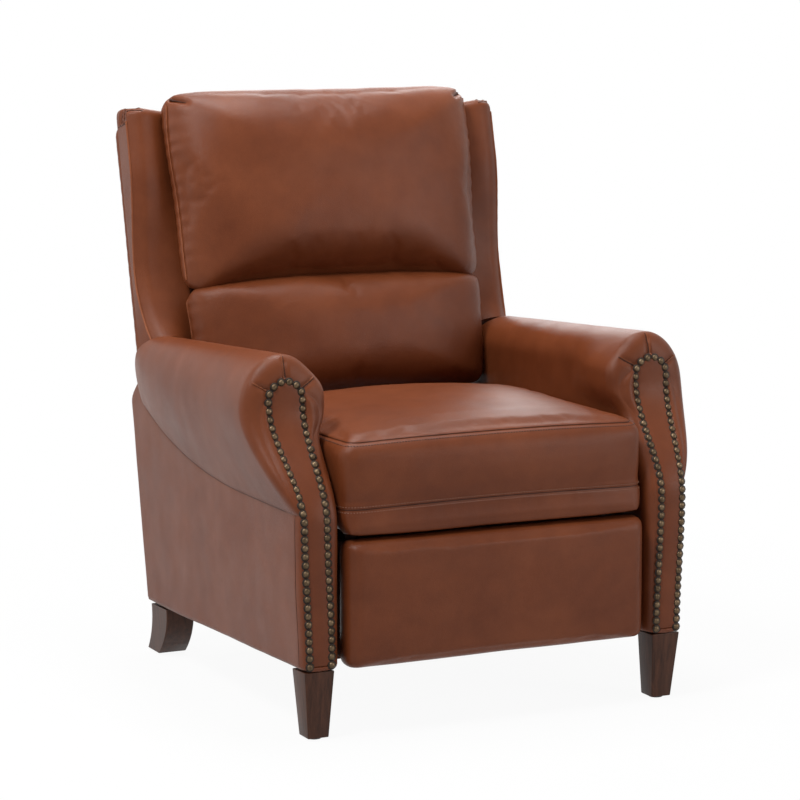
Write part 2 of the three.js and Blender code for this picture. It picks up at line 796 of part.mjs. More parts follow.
function seatPlate() {
  const top = seatRailTop;
  const bottom = top - seatPlateDepth;
  const dip = bottom - seatPlateDip;
  const outline = [
    [seatPlateFront, bottom],
    [rearPivot[0] - seatPlateFlareShare * plateMargin, bottom],
    [rearPivot[0] - plateMargin, dip],
    [rearPivot[0] + plateMargin, dip],
    [rearPivot[0] + seatPlateFlareShare * plateMargin, bottom],
    [swingFoot[0] - seatPlateFlareShare * plateMargin, bottom],
    [swingFoot[0] - plateMargin, swingFoot[1] - plateMargin],
    [swingFoot[0] + plateMargin, swingFoot[1] - plateMargin],
    [swingFoot[0] + seatPlateFlareShare * plateMargin, bottom],
    [seatPivot[0] - plateMargin, bottom],
    [seatPivot[0] + plateMargin, seatPivot[1] - plateMargin],
    [seatPivot[0] + plateMargin, seatPivot[1] + plateMargin],
    [seatPivot[0] - 2 * plateMargin, seatPivot[1] + plateMargin],
    [seatRailRear, top],
    [seatPlateFront, top],
  ];
  const holes = [hole(seatPivot), hole(swingFoot, openPivotPlay)];
  const web = sidePlate(outline, seatPlateOuter, plateThickness, holes);
  const flangeLow = top - cutOverrun / 2;
  const lip = [
    [seatFlangeFront, flangeLow],
    [seatFlangeRear, flangeLow],
    [seatFlangeRear, top + touchGap + seatFlangeThickness],
    [seatFlangeFront, top + touchGap + seatFlangeThickness],
  ];
  const rise = sidePlate(lip, seatPlateOuter, plateThickness);
  const inner = seatRailOuter - seatRailWidth;
  const flangeTop = top + touchGap + seatFlangeThickness;
  const flange = box(inner, seatPlateOuter, seatFlangeFront, seatFlangeRear, top + touchGap, flangeTop);
  const mainPin = pinInward(mainPivot, seatPlateOuter, innerLinkOuter);
  const rearPin = pinInward(rearPivot, seatPlateOuter, innerLinkOuter);
  return join(web, rise, flange, mainPin, rearPin);
}

function addMechanism() {
  addPair(chair, 'base_hinge_plate', basePlate(), blackSteel);
  addPair(chair, 'back_hinge_plate', hingePlate(), blackSteel);
  addPair(chair, 'front_swing_link', frontSwingLink(), blackSteel);
  addPair(chair, 'seat_side_plate', seatPlate(), blackSteel);
}

// Footrest linkage and footrest

function mainLink() {
  const upper = sidePlate(
    barOutline(mainPivot, crossPivot, linkHalfWidth),
    innerLinkOuter,
    linkThickness,
    [hole(mainPivot)],
  );
  const lower = sidePlate(barOutline(crossPivot, mainTip, linkHalfWidth), innerLinkOuter, linkThickness);
  const crossPin = pinInward(crossPivot, innerLinkOuter, outerLinkOuter);
  const tipPin = pinInward(mainTip, innerLinkOuter, outerLinkOuter);
  return join(upper, lower, crossPin, tipPin);
}

function rearLink() {
  const outline = barOutline(rearPivot, rearTip, linkHalfWidth);
  const bar = sidePlate(outline, innerLinkOuter, linkThickness, [hole(rearPivot)]);
  return join(bar, pinInward(rearTip, innerLinkOuter, outerLinkOuter));
}

function longLink() {
  const holes = [hole(crossPivot), hole(rearTip, openPivotPlay)];
  const bar = sidePlate(
    barOutline(boardUpper, rearTip, linkHalfWidth),
    outerLinkOuter,
    linkThickness,
    holes,
  );
  return join(bar, pinOutward(boardUpper, outerLinkOuter, innerLinkOuter));
}

function shortLink() {
  const outline = barOutline(boardLower, mainTip, linkHalfWidth);
  const bar = sidePlate(outline, outerLinkOuter, linkThickness, [hole(mainTip)]);
  return join(bar, pinOutward(boardLower, outerLinkOuter, innerLinkOuter));
}

function footrestBracket() {
  const face = footrestFront + footrestPadThickness + footrestBoardThickness + 2 * touchGap;
  const low = boardLower[1] - bracketMargin;
  const high = boardUpper[1] + bracketMargin;
  const outline = [
    [face, low],
    [boardLower[0], low],
    [boardLower[0] + bracketMargin, boardLower[1]],
    [boardUpper[0] + bracketMargin, high],
    [face, high],
  ];
  const holes = [hole(boardUpper), hole(boardLower, openPivotPlay)];
  const web = sidePlate(outline, innerLinkOuter, linkThickness, holes);
  const inner = innerLinkOuter - bracketFlangeWidth;
  const flange = box(inner, innerLinkOuter, face, face + bracketFlangeThickness, low, high);
  return join(web, flange);
}

function crossTube() {
  const at = mainLinkPoint(mainLinkLength * crossTubeShare);
  const span = 2 * (innerLinkOuter - linkThickness - touchGap);
  const tube = new THREE.CylinderGeometry(crossTubeRadius, crossTubeRadius, span, glideSides);
  return tube.rotateZ(Math.PI / 2).translate(0, at[0], at[1]);
}

function footrestPad() {
  const halfHeight = (footrestTop - footrestBottom) / 2;
  const bend = ([x, y, z], [u, , w]) => {
    const crown = footrestPadCrown * (1 - u ** 4) * (1 - w ** 4);
    const front = y < 0 ? -crown : 0;
    return [x, y + front, z];
  };
  const halfThickness = (footrestPadThickness - footrestPadCrown) / 2;
  const half = [footrestHalfWidth, halfThickness, halfHeight];
  const pad = softBlock(half, footrestPadRadius, footrestPadSteps, bend);
  const centreY = footrestFront + footrestPadCrown + halfThickness;
  return pad.translate(0, centreY, footrestBottom + halfHeight);
}

function footrestBoard() {
  const front = footrestFront + footrestPadThickness + touchGap;
  const half = footrestHalfWidth - footrestBoardInset;
  const low = footrestBottom + footrestBoardInset;
  const high = footrestTop - footrestBoardInset;
  return box(-half, half, front, front + footrestBoardThickness, low, high);
}

function addFootrest() {
  addPair(chair, 'footrest_main_link', mainLink(), blackSteel);
  addPair(chair, 'footrest_rear_link', rearLink(), blackSteel);
  addPair(chair, 'footrest_long_link', longLink(), blackSteel);
  addPair(chair, 'footrest_short_link', shortLink(), blackSteel);
  addPair(chair, 'footrest_bracket', footrestBracket(), blackSteel);
  add(chair, 'footrest_cross_tube', crossTube(), blackSteel);
  add(chair, 'footrest_board', footrestBoard(), paleWood);
  add(chair, 'footrest_pad', footrestPad(), leather);
}

// Sinuous springs: flat zigzag wires between two bars, drawn as (across, along) and thickened

function zigzag(across, from, to, waves) {
  const left = [];
  const right = [];
  const count = 2 * waves;
  const half = springWireWidth / 2;
  for (let i = 0; i <= count; i += 1) {
    const along = lerp(from, to, i / count);
    const swing = i === 0 || i === count ? 0 : springWaveHalfWidth * (i % 2 === 0 ? -1 : 1);
    left.push(new THREE.Vector2(across + swing - half, along));
    right.push(new THREE.Vector2(across + swing + half, along));
  }
  const settings = { depth: springWireThickness, bevelEnabled: false };
  return new THREE.ExtrudeGeometry(new THREE.Shape([...right, ...left.reverse()]), settings);
}

function springSheet(count, waves, from, to) {
  const pieces = [];
  for (let i = 0; i < count; i += 1) {
    const across = lerp(-springHalfSpread, springHalfSpread, i / (count - 1));
    pieces.push(zigzag(across, from, to, waves));
  }
  const reach = springHalfSpread + springWaveHalfWidth;
  for (const along of [from, to - springBarWidth]) {
    pieces.push(box(-reach, reach, along, along + springBarWidth, 0, springWireThickness));
  }
  return join(...pieces);
}

// Seat

function seatCushion() {
  const halfDepth = (cushionRear - cushionFront - cushionFrontSwell) / 2;
  const halfHeight = (cushionEdgeTop - cushionBottom) / 2;
  const bend = ([x, y, z], [u, v, w]) => {
    const high = clamp((w + 1) / 2, 0, 1);
    const low = 1 - high;
    const crown = cushionCrown * (1 - Math.abs(u) ** 2.4) * (1 - Math.abs(v) ** 3) * high;
    const rearDrop = cushionRearDrop * clamp(v, 0, 1) ** 2 * high;
    const swell = cushionFrontSwell * (1 - u ** 4) * (1 - w ** 2) * clamp(-v, 0, 1) ** 4;
    const tuck = cushionTuck * low ** 4 * clamp(-v, 0, 1) ** 8;
    const drawIn = cushionDrawIn * u * (1 - v ** 2) * (1 - w ** 2);
    return [x - drawIn, y - swell + tuck, z + crown - rearDrop];
  };
  const half = [cushionHalfWidth, halfDepth, halfHeight];
  const block = softBlock(half, cushionRadius, cushionSteps, bend);
  const centreY = cushionFront + cushionFrontSwell + halfDepth;
  return block.translate(0, centreY, cushionBottom + halfHeight);
}

function addSeat() {
  const low = seatRailTop - seatRailHeight;
  const inner = seatRailOuter - seatRailWidth;
  const side = box(inner, seatRailOuter, seatRailFront, seatRailRear, low, seatRailTop);
  const reach = inner - touchGap;
  const frontEnd = seatRailFront + seatRailWidth;
  const rearStart = seatRailRear - seatRailWidth;
  const front = box(-reach, reach, seatRailFront, frontEnd, low, seatRailTop);
  const rear = box(-reach, reach, rearStart, seatRailRear, low, seatRailTop);
  addPair(chair, 'seat_side_rail', side, paleWood);
  add(chair, 'seat_front_rail', front, paleWood);
  add(chair, 'seat_rear_rail', rear, paleWood);
  const springs = springSheet(seatSpringCount, seatSpringWaves, seatRailFront, seatRailRear);
  add(chair, 'seat_springs', springs.translate(0, 0, seatRailTop + touchGap), springSteel);
  add(chair, 'seat_cushion', seatCushion(), leather);
}

// Back, built upright in its own frame and then leaned: local y is minus depth, local z is along

const back = new THREE.Group();
back.position.set(0, backRefY, backRefZ);
back.rotation.x = -backLean;
chair.add(back);

function outsidePanel() {
  const half = backHalfWidth - outsideEdge;
  const narrow = backNarrowHalfWidth - outsideEdge;
  const top = outsideTop - outsideEdge;
  const step = outsideWideBottom + outsideEdge;
  const low = outsideBottom + outsideEdge;
  const corner = outsideCorner;
  const rightSide = [
    [narrow, low],
    [narrow, step],
    [half, step],
    [half, top - corner],
    [half - corner / 3, top - corner / 3],
    [half - corner, top],
  ];
  const leftSide = rightSide.map(([x, z]) => [-x, z]).reverse();
  const outline = [...rightSide, ...leftSide].map(([x, z]) => new THREE.Vector2(x, z));
  const settings = {
    depth: outsideThickness - 2 * outsideEdge,
    bevelThickness: outsideEdge,
    bevelSize: outsideEdge,
    bevelSegments: 2,
  };
  const panel = new THREE.ExtrudeGeometry(new THREE.Shape(outline), settings);
  return panel.rotateX(Math.PI / 2).translate(0, -outsideEdge, 0);
}

// The wing's front edge: deep at its foot, slim at a waist, deep again near the top
function wingDepth(share) {
  const rest = (1 - share / wingWaistShare) ** 2;
  const below = lerp(wingWaist, wingFrontLow, rest);
  const above = lerp(wingWaist, wingFrontHigh, smoothstep(share, wingWaistShare, wingShoulderShare));
  return share < wingWaistShare ? below : above;
}

// Where the wing's slanted foot stands, a clearance above the slanted end of the arm
function wingFoot(depth) {
  return slitClearance + depth / Math.cos(backLean) / (1 / slitSlope + Math.tan(backLean));
}

function wing() {
  const rear = outsideThickness + touchGap;
  const rings = [];
  for (let i = 0; i <= wingSteps; i += 1) {
    const share = i / wingSteps;
    const reach = clamp((share - wingRoundStartShare) / (1 - wingRoundStartShare), 0, 1);
    const round = wingTopRound * (1 - Math.sqrt(1 - reach ** 2));
    const outerFront = wingDepth(share) - round;
    const outer = backHalfWidth - round / 3;
    const tuck = wingFootTuck * clamp(1 - share / wingWaistShare, 0, 1) ** 2;
    const innerFront = Math.min(wingInnerDepth, outerFront);
    const face = wingFaceShares.map((across, k) => [
      lerp(wingInner, outer - tuck, across),
      lerp(innerFront, outerFront, k / 2) + wingSwell * wingFaceSwellShares[k],
    ]);
    const section = [
      [wingInner, rear],
      [wingInner, innerFront],
      ...face,
      [outer - tuck, outerFront],
      [outer - tuck / 2, lerp(rear, outerFront, 0.5)],
      [outer, rear],
    ];
    rings.push(section.map(([x, depth]) => [x, -depth, lerp(wingFoot(depth), wingTop, share)]));
  }
  return loft(rings);
}

function pillow(size) {
  const halfDepth = size.thickness / 2;
  const halfHeight = (size.top - size.bottom) / 2;
  const bend = ([x, y, z], [u, v, w]) => {
    const crown = size.crown * (1 - Math.abs(u) ** 2.5) * (1 - Math.abs(w) ** 2.5);
    const front = clamp(-v, 0, 1);
    const taper = lerp(size.halfBottom / size.halfTop, 1, (w + 1) / 2);
    const drawIn = pillowDrawIn * u * (1 - w ** 2) + pillowDrawIn * u * w ** 8;
    const sag = pillowDrawIn * w * (1 - u ** 2) * (1 - v ** 2);
    return [x * taper - drawIn, y - crown * front, z + sag - pillowDrawIn * w];
  };
  const half = [size.halfTop, halfDepth, halfHeight];
  const block = softBlock(half, size.radius, pillowSteps, bend);
  return block.translate(0, -pillowBackDepth - halfDepth, size.bottom + halfHeight);
}

function addBack() {
  const rear = outsideThickness + touchGap;
  const front = rear + postDepth;
  const inner = postOuter - postWidth;
  const railReach = inner - touchGap;
  const post = box(inner, postOuter, -front, -rear, postBottom, postTop - topRailHeight - touchGap);
  const topRail = box(-postOuter, postOuter, -front, -rear, postTop - topRailHeight, postTop);
  const bottomRailTop = postBottom + bottomRailHeight;
  const bottomRail = box(-railReach, railReach, -front, -rear, postBottom, bottomRailTop);
  addPair(back, 'back_post', post, paleWood);
  add(back, 'back_top_rail', topRail, paleWood);
  add(back, 'back_bottom_rail', bottomRail, paleWood);
  const springs = springSheet(backSpringCount, backSpringWaves, postBottom, postTop);
  springs.rotateX(Math.PI / 2).translate(0, -front - touchGap, 0);
  add(back, 'back_springs', springs, springSteel);
  add(back, 'back_outside_panel', outsidePanel(), leather);
  addPair(back, 'wing', wing(), leather);
  const upper = {
    halfTop: upperPillowHalfWidthTop,
    halfBottom: upperPillowHalfWidthBottom,
    bottom: upperPillowBottom,
    top: upperPillowTop,
    thickness: upperPillowThickness,
    crown: upperPillowCrown,
    radius: upperPillowRadius,
  };
  const lower = {
    halfTop: lowerPillowHalfWidth,
    halfBottom: lowerPillowHalfWidth,
    bottom: lowerPillowBottom,
    top: lowerPillowTop,
    thickness: lowerPillowThickness,
    crown: lowerPillowCrown,
    radius: lowerPillowRadius,
  };
  add(back, 'upper_back_pillow', pillow(upper), leather);
  add(back, 'lower_back_pillow', pillow(lower), leather);
}

addArms();
addBase();
addMechanism();
addFootrest();
addSeat();
addBack();

// The origin is the middle of the chair's footprint on the floor
chair.updateMatrixWorld(true);
const middle = new THREE.Box3().setFromObject(chair).getCenter(new THREE.Vector3());
chair.position.set(-middle.x, -middle.y, 0);

export default chair;
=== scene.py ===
import math

import bmesh
import bpy
import numpy as np
from mathutils import Matrix, Vector, noise
from mathutils.bvhtree import BVHTree
from mathutils.kdtree import KDTree


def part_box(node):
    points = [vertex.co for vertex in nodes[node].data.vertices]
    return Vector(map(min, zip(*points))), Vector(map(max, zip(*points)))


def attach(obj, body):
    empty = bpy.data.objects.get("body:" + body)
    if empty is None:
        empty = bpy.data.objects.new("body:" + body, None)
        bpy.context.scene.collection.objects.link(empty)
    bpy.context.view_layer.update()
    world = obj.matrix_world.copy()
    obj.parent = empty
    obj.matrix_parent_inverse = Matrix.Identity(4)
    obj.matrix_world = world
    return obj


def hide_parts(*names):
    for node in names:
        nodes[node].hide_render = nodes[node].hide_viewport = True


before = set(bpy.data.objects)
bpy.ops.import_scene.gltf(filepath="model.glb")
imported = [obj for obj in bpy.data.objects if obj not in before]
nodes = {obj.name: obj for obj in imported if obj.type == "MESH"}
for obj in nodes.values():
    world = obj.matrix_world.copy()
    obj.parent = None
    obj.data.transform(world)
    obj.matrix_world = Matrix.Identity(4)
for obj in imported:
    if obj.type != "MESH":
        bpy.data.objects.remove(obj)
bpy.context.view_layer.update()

scene = bpy.context.scene

# Sizes are millimetres in the chair's own frame: x from the middle, y back from the arms' front
# faces, z up from the floor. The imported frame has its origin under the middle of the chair.
MM = 0.001
front_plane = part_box("front_leg_left")[0].y

# Arms
arm_inner = 292.0
arm_roll_radius = 60.0
arm_roll_overhang = 50.0
arm_side = 364.0
arm_side_swell = 6.0
arm_side_swell_share = 0.6
arm_floor_front = 120.0
arm_floor_rear = 96.0
arm_depth = 725.0
arm_top_front = 640.0
arm_top_rear = 609.0
arm_set_back = 98.0
arm_set_back_low = 366.0
arm_set_back_high = 556.0
arm_rear_lean = 0.205
arm_edge_depth = 26.0
arm_edge_outer_low = 8.0
arm_edge_outer_high = 27.0
arm_edge_top_drop = 38.0
arm_edge_inner = 18.0
arm_rear_edge = 5.0
arm_seam_low = 383.0
arm_seam_high = 592.0
arm_seam_flat = 250.0
arm_seam_reach = 430.0
arm_widest_share = 0.62
arm_rear_share = 0.6
arm_swell_power = 1.6
arm_flare_reach = 20.0
arm_flare_low = (490.0, 550.0)
arm_flare_high = (570.0, 625.0)
arm_flare_fade = (60.0, 200.0)
arm_swell_fade = (30.0, 220.0)
arm_seam_tuck = 2.4
arm_front_swell = 6.0
arm_behind_span = 640.0
arm_corner_seam_y = 17.0
roll_seam_shares = (0.03, 0.985)
slit_slope = 0.904

# Scroll fronts and nails
scroll_bottom = 130.0
scroll_top = 596.0
scroll_inner_low = 312.0
scroll_inner_high = 320.0
scroll_outer_low = 352.0
scroll_outer_mid = 360.0
scroll_outer_high = 382.0
scroll_foot = 20.0
band_fullness = 0.27
band_rise = (2.0, 10.0)
band_draw = 1.6
nail_spacing = 14.3
nail_radius = 5.9
nail_height = 3.6
nail_rim_radius = 8.2
nail_rim_height = 1.6
nail_lift = 2.8
nail_rim_lift = 2.0
pleat_sewing = dict(depth=4.5, width=4.5, fade=14.0, start_fade=2.0)
pleat_lines = ((92.0, 44.0), (30.0, 30.0), (150.0, 36.0))
pleat_lip_shift = Vector((2.6, -0.6, 0.9))

# Back, in its own leaned frame
back_ref_y = 735.0
back_ref_z = 539.0
back_lean = math.radians(13.44)
lean_sine = math.sin(back_lean)
lean_cosine = math.cos(back_lean)
back_half = 377.0
back_narrow_half = 268.0
outside_thickness = 21.0
outside_top = 468.0
outside_swell = 6.0
wing_inner = 280.0
wing_inner_depth = 61.6
wing_top = 478.0
wing_front_low = 78.0
wing_foot_tuck = 12.0
wing_front_high = 82.0
wing_waist = 51.0
wing_waist_share = 0.3
wing_shoulder_share = 0.75
wing_crest = 0.27
wing_roll = 12.0
wing_welt_rise = 3.0
wing_trough_rise = 9.0
wing_fall_power = 1.2
wing_ring_gather = 1.25
wing_top_fall_share = 0.9
wing_piping_span = (42.0, 452.0)
wing_side_seam_span = (26.0, 74.0)
wing_cap_share = 0.95
wing_cap_power = 3.2
wing_cap_side = 8.0
wing_cap_front = 24.0
wing_cap_rear = 6.0
wing_top_tilt = (-9.0, 4.0)
fold_sewing = dict(depth=4.2, width=4.6, fade=12.0, start_fade=6.0)
fold_lines = ((-8.0, 4.0, 0.0), (4.0, 4.0, 10.0), (15.0, 6.0, 18.0))
pillow_rear = 65.0
slit_clearance = 5.0


def clamp(value, low, high):
    return max(low, min(high, value))


def lerp(a, b, t):
    return a + (b - a) * t


def eased(t):
    """A share from 0 to 1 that starts and stops gently."""
    return t * t * (3.0 - 2.0 * t)


def smoothstep(value, low, high):
    return eased(clamp((value - low) / (high - low), 0.0, 1.0))


def spread(count, low=0.0, high=1.0):
    return [lerp(low, high, i / (count - 1)) for i in range(count)]


def at(x, y, z):
    """A place in the chair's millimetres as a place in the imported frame."""
    return Vector((x * MM, y * MM + front_plane, z * MM))


def leaned(depth, along):
    """y and z of a place in the leaned frame of the back, in the chair's millimetres."""
    y = back_ref_y + along * lean_sine - depth * lean_cosine
    z = back_ref_z + along * lean_cosine + depth * lean_sine
    return y, z


def on_back(x, depth, along):
    """A place in the leaned frame of the back: depth is forward of its rear face."""
    return at(x, *leaned(depth, along))


leftward = Vector((-1.0, 0.0, 0.0))
rearward = Vector((0.0, 1.0, 0.0))
back_forward = Vector((0.0, -lean_cosine, lean_sine))


# Materials: scales are marks per metre, bump depths are metres

cloud_scale, patch_scale, streak_scale, crease_scale = 6.0, 14.0, 30.0, 34.0
grain_scale, grain_warp_scale, pore_scale = 500.0, 160.0, 1500.0
grain_warp = 0.004
crease_bump, pore_bump, grain_bump = (0.12, 0.002), (0.1, 0.0002), (0.42, 0.00025)
fibre_bump, metal_bump_depth, plastic_bump = (0.18, 0.0003), 0.0002, (0.1, 0.0002)
tarnish_scale, scratch_scale, moulding_scale, fibre_fineness = 90.0, 700.0, 900.0, 9.0
leather_specular, wood_specular = 0.18, 0.2
wood_stretch = (14.0, 14.0, 1.6)
plastic_roughness, plastic_wear = (0.45, 0.65), 1.6


def new_material(name):
    """A node material, its tree and shader, and the Object coordinates that every pattern reads."""
    material = bpy.data.materials.new(name)
    material.use_nodes = True
    tree = material.node_tree
    shader = tree.nodes["Principled BSDF"]
    place = tree.nodes.new("ShaderNodeTexCoord").outputs["Object"]
    return material, tree, shader, place


def feed(tree, node, inputs):
    """Sets inputs of a node, each to a value or to the socket that it comes from."""
    for label, value in inputs.items():
        if isinstance(value, bpy.types.NodeSocket):
            tree.links.new(value, node.inputs[label])
        else:
            node.inputs[label].default_value = value


def add_node(tree, kind, inputs, output, **settings):
    """Adds a node with its settings and inputs, and returns one of its outputs."""
    node = tree.nodes.new(kind)
    for label, value in settings.items():
        setattr(node, label, value)
    feed(tree, node, inputs)
    return node.outputs[output]


def noise_node(tree, place, scale, detail=3.0, roughness=0.5, stretch=None, distortion=0.0):
    if stretch:
        place = add_node(tree, "ShaderNodeMapping", {"Vector": place, "Scale": stretch}, "Vector")
    inputs = dict(Vector=place, Scale=scale, Detail=detail, Roughness=roughness, Distortion=distortion)
    return add_node(tree, "ShaderNodeTexNoise", inputs, "Fac")


def ramp(tree, value, stops):
    node = tree.nodes.new("ShaderNodeValToRGB")
    elements = node.color_ramp.elements
    while len(elements) < len(stops):
        elements.new(0.5)
    for element, (position, colour) in zip(elements, stops):
        element.position = position
        element.color = (*colour, 1.0)
    tree.links.new(value, node.inputs["Fac"])
    return node.outputs["Color"]


def grey_range(tree, value, low, high):
    return add_node(tree, "ShaderNodeMapRange", {"Value": value, "To Min": low, "To Max": high}, "Result")


def multiply_colours(tree, share, first, second):
    inputs = {"Factor": share, 6: first, 7: second}
    return add_node(tree, "ShaderNodeMix", inputs, 2, data_type="RGBA", blend_type="MULTIPLY")


def bump(tree, height, strength, distance, **under):
    inputs = dict(Height=height, Strength=strength, Distance=distance, **under)
    return add_node(tree, "ShaderNodeBump", inputs, "Normal")


def make_leather(name, deep, middle, light, roughness):
    """Pull-up leather: clouded dye, pebbled grain with painted shade in its valleys, pores and a soft waxed
    gloss.
    """
    material, tree, shader, place = new_material(name)
    cloudy = noise_node(tree, place, cloud_scale, detail=4.0, roughness=0.55, distortion=0.4)
    dye = ramp(tree, cloudy, [(0.3, deep), (0.5, middle), (0.72, light)])
    streaks = noise_node(tree, place, streak_scale, detail=4.0, roughness=0.6)
    streaked = ramp(tree, streaks, [(0.35, (0.9, 0.89, 0.88)), (0.65, (1.06, 1.06, 1.06))])
    dye = multiply_colours(tree, 0.7, dye, streaked)
    warp = {"Vector": place, "Scale": grain_warp_scale, "Detail": 2.0}
    shift = {0: add_node(tree, "ShaderNodeTexNoise", warp, "Color"), 1: (grain_warp,) * 3, 2: place}
    warped = add_node(tree, "ShaderNodeVectorMath", shift, "Vector", operation="MULTIPLY_ADD")
    cells = {"Vector": warped, "Scale": grain_scale}
    grain = add_node(tree, "ShaderNodeTexVoronoi", cells, "Distance", feature="DISTANCE_TO_EDGE")
    pebble = ramp(tree, grain, [(0.0, (0.0,) * 3), (0.28, (1.0,) * 3)])
    # Darker base colour in the grain's valleys: painted shade in the hollows of the pebble grain
    grain_valley_shade = ramp(tree, grain, [(0.0, (0.84, 0.82, 0.8)), (0.2, (1.0,) * 3)])
    patchy = noise_node(tree, place, patch_scale)
    soft = bump(tree, noise_node(tree, place, crease_scale, detail=4.0, roughness=0.6), *crease_bump)
    pores = bump(tree, noise_node(tree, place, pore_scale, detail=2.0), *pore_bump, Normal=soft)
    feed(tree, shader, {
        "Base Color": multiply_colours(tree, 0.5, dye, grain_valley_shade),
        "Roughness": grey_range(tree, patchy, roughness - 0.07, roughness + 0.08),
        "Specular IOR Level": leather_specular,
        "Normal": bump(tree, pebble, *grain_bump, Normal=pores),
    })
    return material


def make_wood(name, dark, light, roughness, scale):
    """Straight-grained wood: the grain is drawn out along the height of the piece."""
    material, tree, shader, place = new_material(name)
    long_grain = noise_node(tree, place, scale, 5.0, 0.6, stretch=wood_stretch, distortion=0.3)
    fibre = noise_node(tree, place, scale * fibre_fineness, 3.0, 0.7, stretch=wood_stretch)
    colour = ramp(tree, long_grain, [(0.3, dark), (0.7, light)])
    fibres = ramp(tree, fibre, [(0.35, (0.72, 0.7, 0.68)), (0.6, (1.0,) * 3)])
    feed(tree, shader, {
        "Base Color": multiply_colours(tree, 0.6, colour, fibres),
        "Roughness": grey_range(tree, fibre, roughness - 0.06, roughness + 0.1),
        "Specular IOR Level": wood_specular,
        "Normal": bump(tree, fibre, *fibre_bump),
    })
    return material


def make_metal(name, dark, light, roughness, metallic, scratch=0.1):
    """Metal or thread with cloudy tone and fine scratches; metallic is 0 for thread."""
    material, tree, shader, place = new_material(name)
    cloudy = noise_node(tree, place, tarnish_scale, 4.0, 0.6)
    fine = noise_node(tree, place, scratch_scale, 3.0, 0.6)
    feed(tree, shader, {
        "Base Color": ramp(tree, cloudy, [(0.32, dark), (0.68, light)]),
        "Metallic": metallic,
        "Roughness": grey_range(tree, fine, roughness - 0.08, roughness + 0.12),
        "Normal": bump(tree, fine, scratch, metal_bump_depth),
    })
    return material


def make_plastic(name, colour):
    material, tree, shader, place = new_material(name)
    fine = noise_node(tree, place, moulding_scale, 2.0)
    worn = tuple(c * plastic_wear for c in colour)
    feed(tree, shader, {
        "Base Color": ramp(tree, fine, [(0.4, colour), (0.8, worn)]),
        "Roughness": grey_range(tree, fine, *plastic_roughness),
        "Normal": bump(tree, fine, *plastic_bump),
    })
    return material


leather = make_leather(
    "saddle leather", (0.116, 0.028, 0.0088), (0.136, 0.0345, 0.0114), (0.158, 0.042, 0.0145), 0.37)
# A lighter copy of the leather: a painted highlight on the raised welts, piping and pleat lips
painted_highlight_leather = make_leather(
    "painted highlight leather", (0.13, 0.034, 0.012), (0.2, 0.058, 0.022), (0.27, 0.088, 0.038), 0.45)
# A much darker copy of the leather: painted shade, for the cords in creases and folds and for the frame parts
# seen in gaps
painted_shade_leather = make_leather(
    "painted shade leather", (0.03, 0.008, 0.003), (0.045, 0.012, 0.005), (0.06, 0.017, 0.007), 0.55)
thread = make_metal("waxed thread", (0.15, 0.055, 0.03), (0.26, 0.11, 0.06), 0.6, 0.0)
dark_thread = make_metal("dark thread", (0.012, 0.005, 0.003), (0.025, 0.01, 0.006), 0.6, 0.0)
leg_wood = make_wood("espresso leg wood", (0.03, 0.0105, 0.005), (0.084, 0.03, 0.015), 0.38, 9.0)
frame_wood = make_wood("frame plywood", (0.42, 0.27, 0.14), (0.62, 0.45, 0.27), 0.6, 5.0)
mechanism_steel = make_metal(
    "black mechanism steel", (0.012, 0.012, 0.013), (0.03, 0.03, 0.032), 0.42, 0.85)
spring_steel = make_metal("oiled spring steel", (0.04, 0.039, 0.038), (0.1, 0.098, 0.096), 0.42, 0.9)
aged_brass = make_metal("aged brass", (0.05, 0.034, 0.02), (0.15, 0.103, 0.062), 0.42, 1.0, scratch=0.25)
# A dark brass disc under each nail head: a painted shadow ring where the dome meets the leather
painted_shadow_brass = make_metal(
    "dark brass painted shadow", (0.012, 0.007, 0.005), (0.03, 0.018, 0.011), 0.55, 0.6, scratch=0.2)
glide_plastic = make_plastic("black glide plastic", (0.012, 0.012, 0.012))


# Mesh tools

def placed(name, data):
    """A new object at the origin that shows this mesh, lamp or camera."""
    thing = bpy.data.objects.new(name, data)
    scene.collection.objects.link(thing)
    return thing


def piece_from(name, points, faces, material, sharp=50.0):
    mesh = bpy.data.meshes.new(name)
    mesh.from_pydata([tuple(p) for p in points], [], faces)
    mesh.materials.append(material)
    finish_mesh(mesh, sharp)
    return placed(name, mesh)


def finish_mesh(mesh, sharp=50.0):
    work = bmesh.new()
    work.from_mesh(mesh)
    bmesh.ops.remove_doubles(work, verts=work.verts, dist=1e-6)
    bmesh.ops.recalc_face_normals(work, faces=work.faces)
    work.to_mesh(mesh)
    work.free()
    mesh.shade_smooth()
    mesh.set_sharp_from_angle(angle=math.radians(sharp))


def ring_sides(count, n):
    """The faces between each closed ring of n points and the next."""
    faces = []
    for r in range(0, (count - 1) * n, n):
        faces += [(r + i, r + (i + 1) % n, r + n + (i + 1) % n, r + n + i) for i in range(n)]
    return faces


def loft(name, rings, material, sharp=50.0, ladder_ends=True):
    """Joins closed rings; each end is one face, or a ladder between the ring's two sides."""
    n = len(rings[0])
    faces = ring_sides(len(rings), n)
    for start in (0, (len(rings) - 1) * n):
        if ladder_ends:
            rungs = [(i, i + 1, n - 2 - i, n - 1 - i) for i in range(n // 2 - 1)]
        else:
            rungs = [range(n)]
        faces += [tuple(start + i for i in rung) for rung in rungs]
    return piece_from(name, [p for ring in rings for p in ring], faces, material, sharp)


def copy_of(node, name, material):
    """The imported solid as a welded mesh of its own, to be shaped further."""
    work = bmesh.new()
    work.from_mesh(nodes[node].data)
    bmesh.ops.remove_doubles(work, verts=work.verts, dist=1e-5)
    mesh = bpy.data.meshes.new(name)
    work.to_mesh(mesh)
    work.free()
    mesh.materials.append(material)
    return placed(name, mesh)


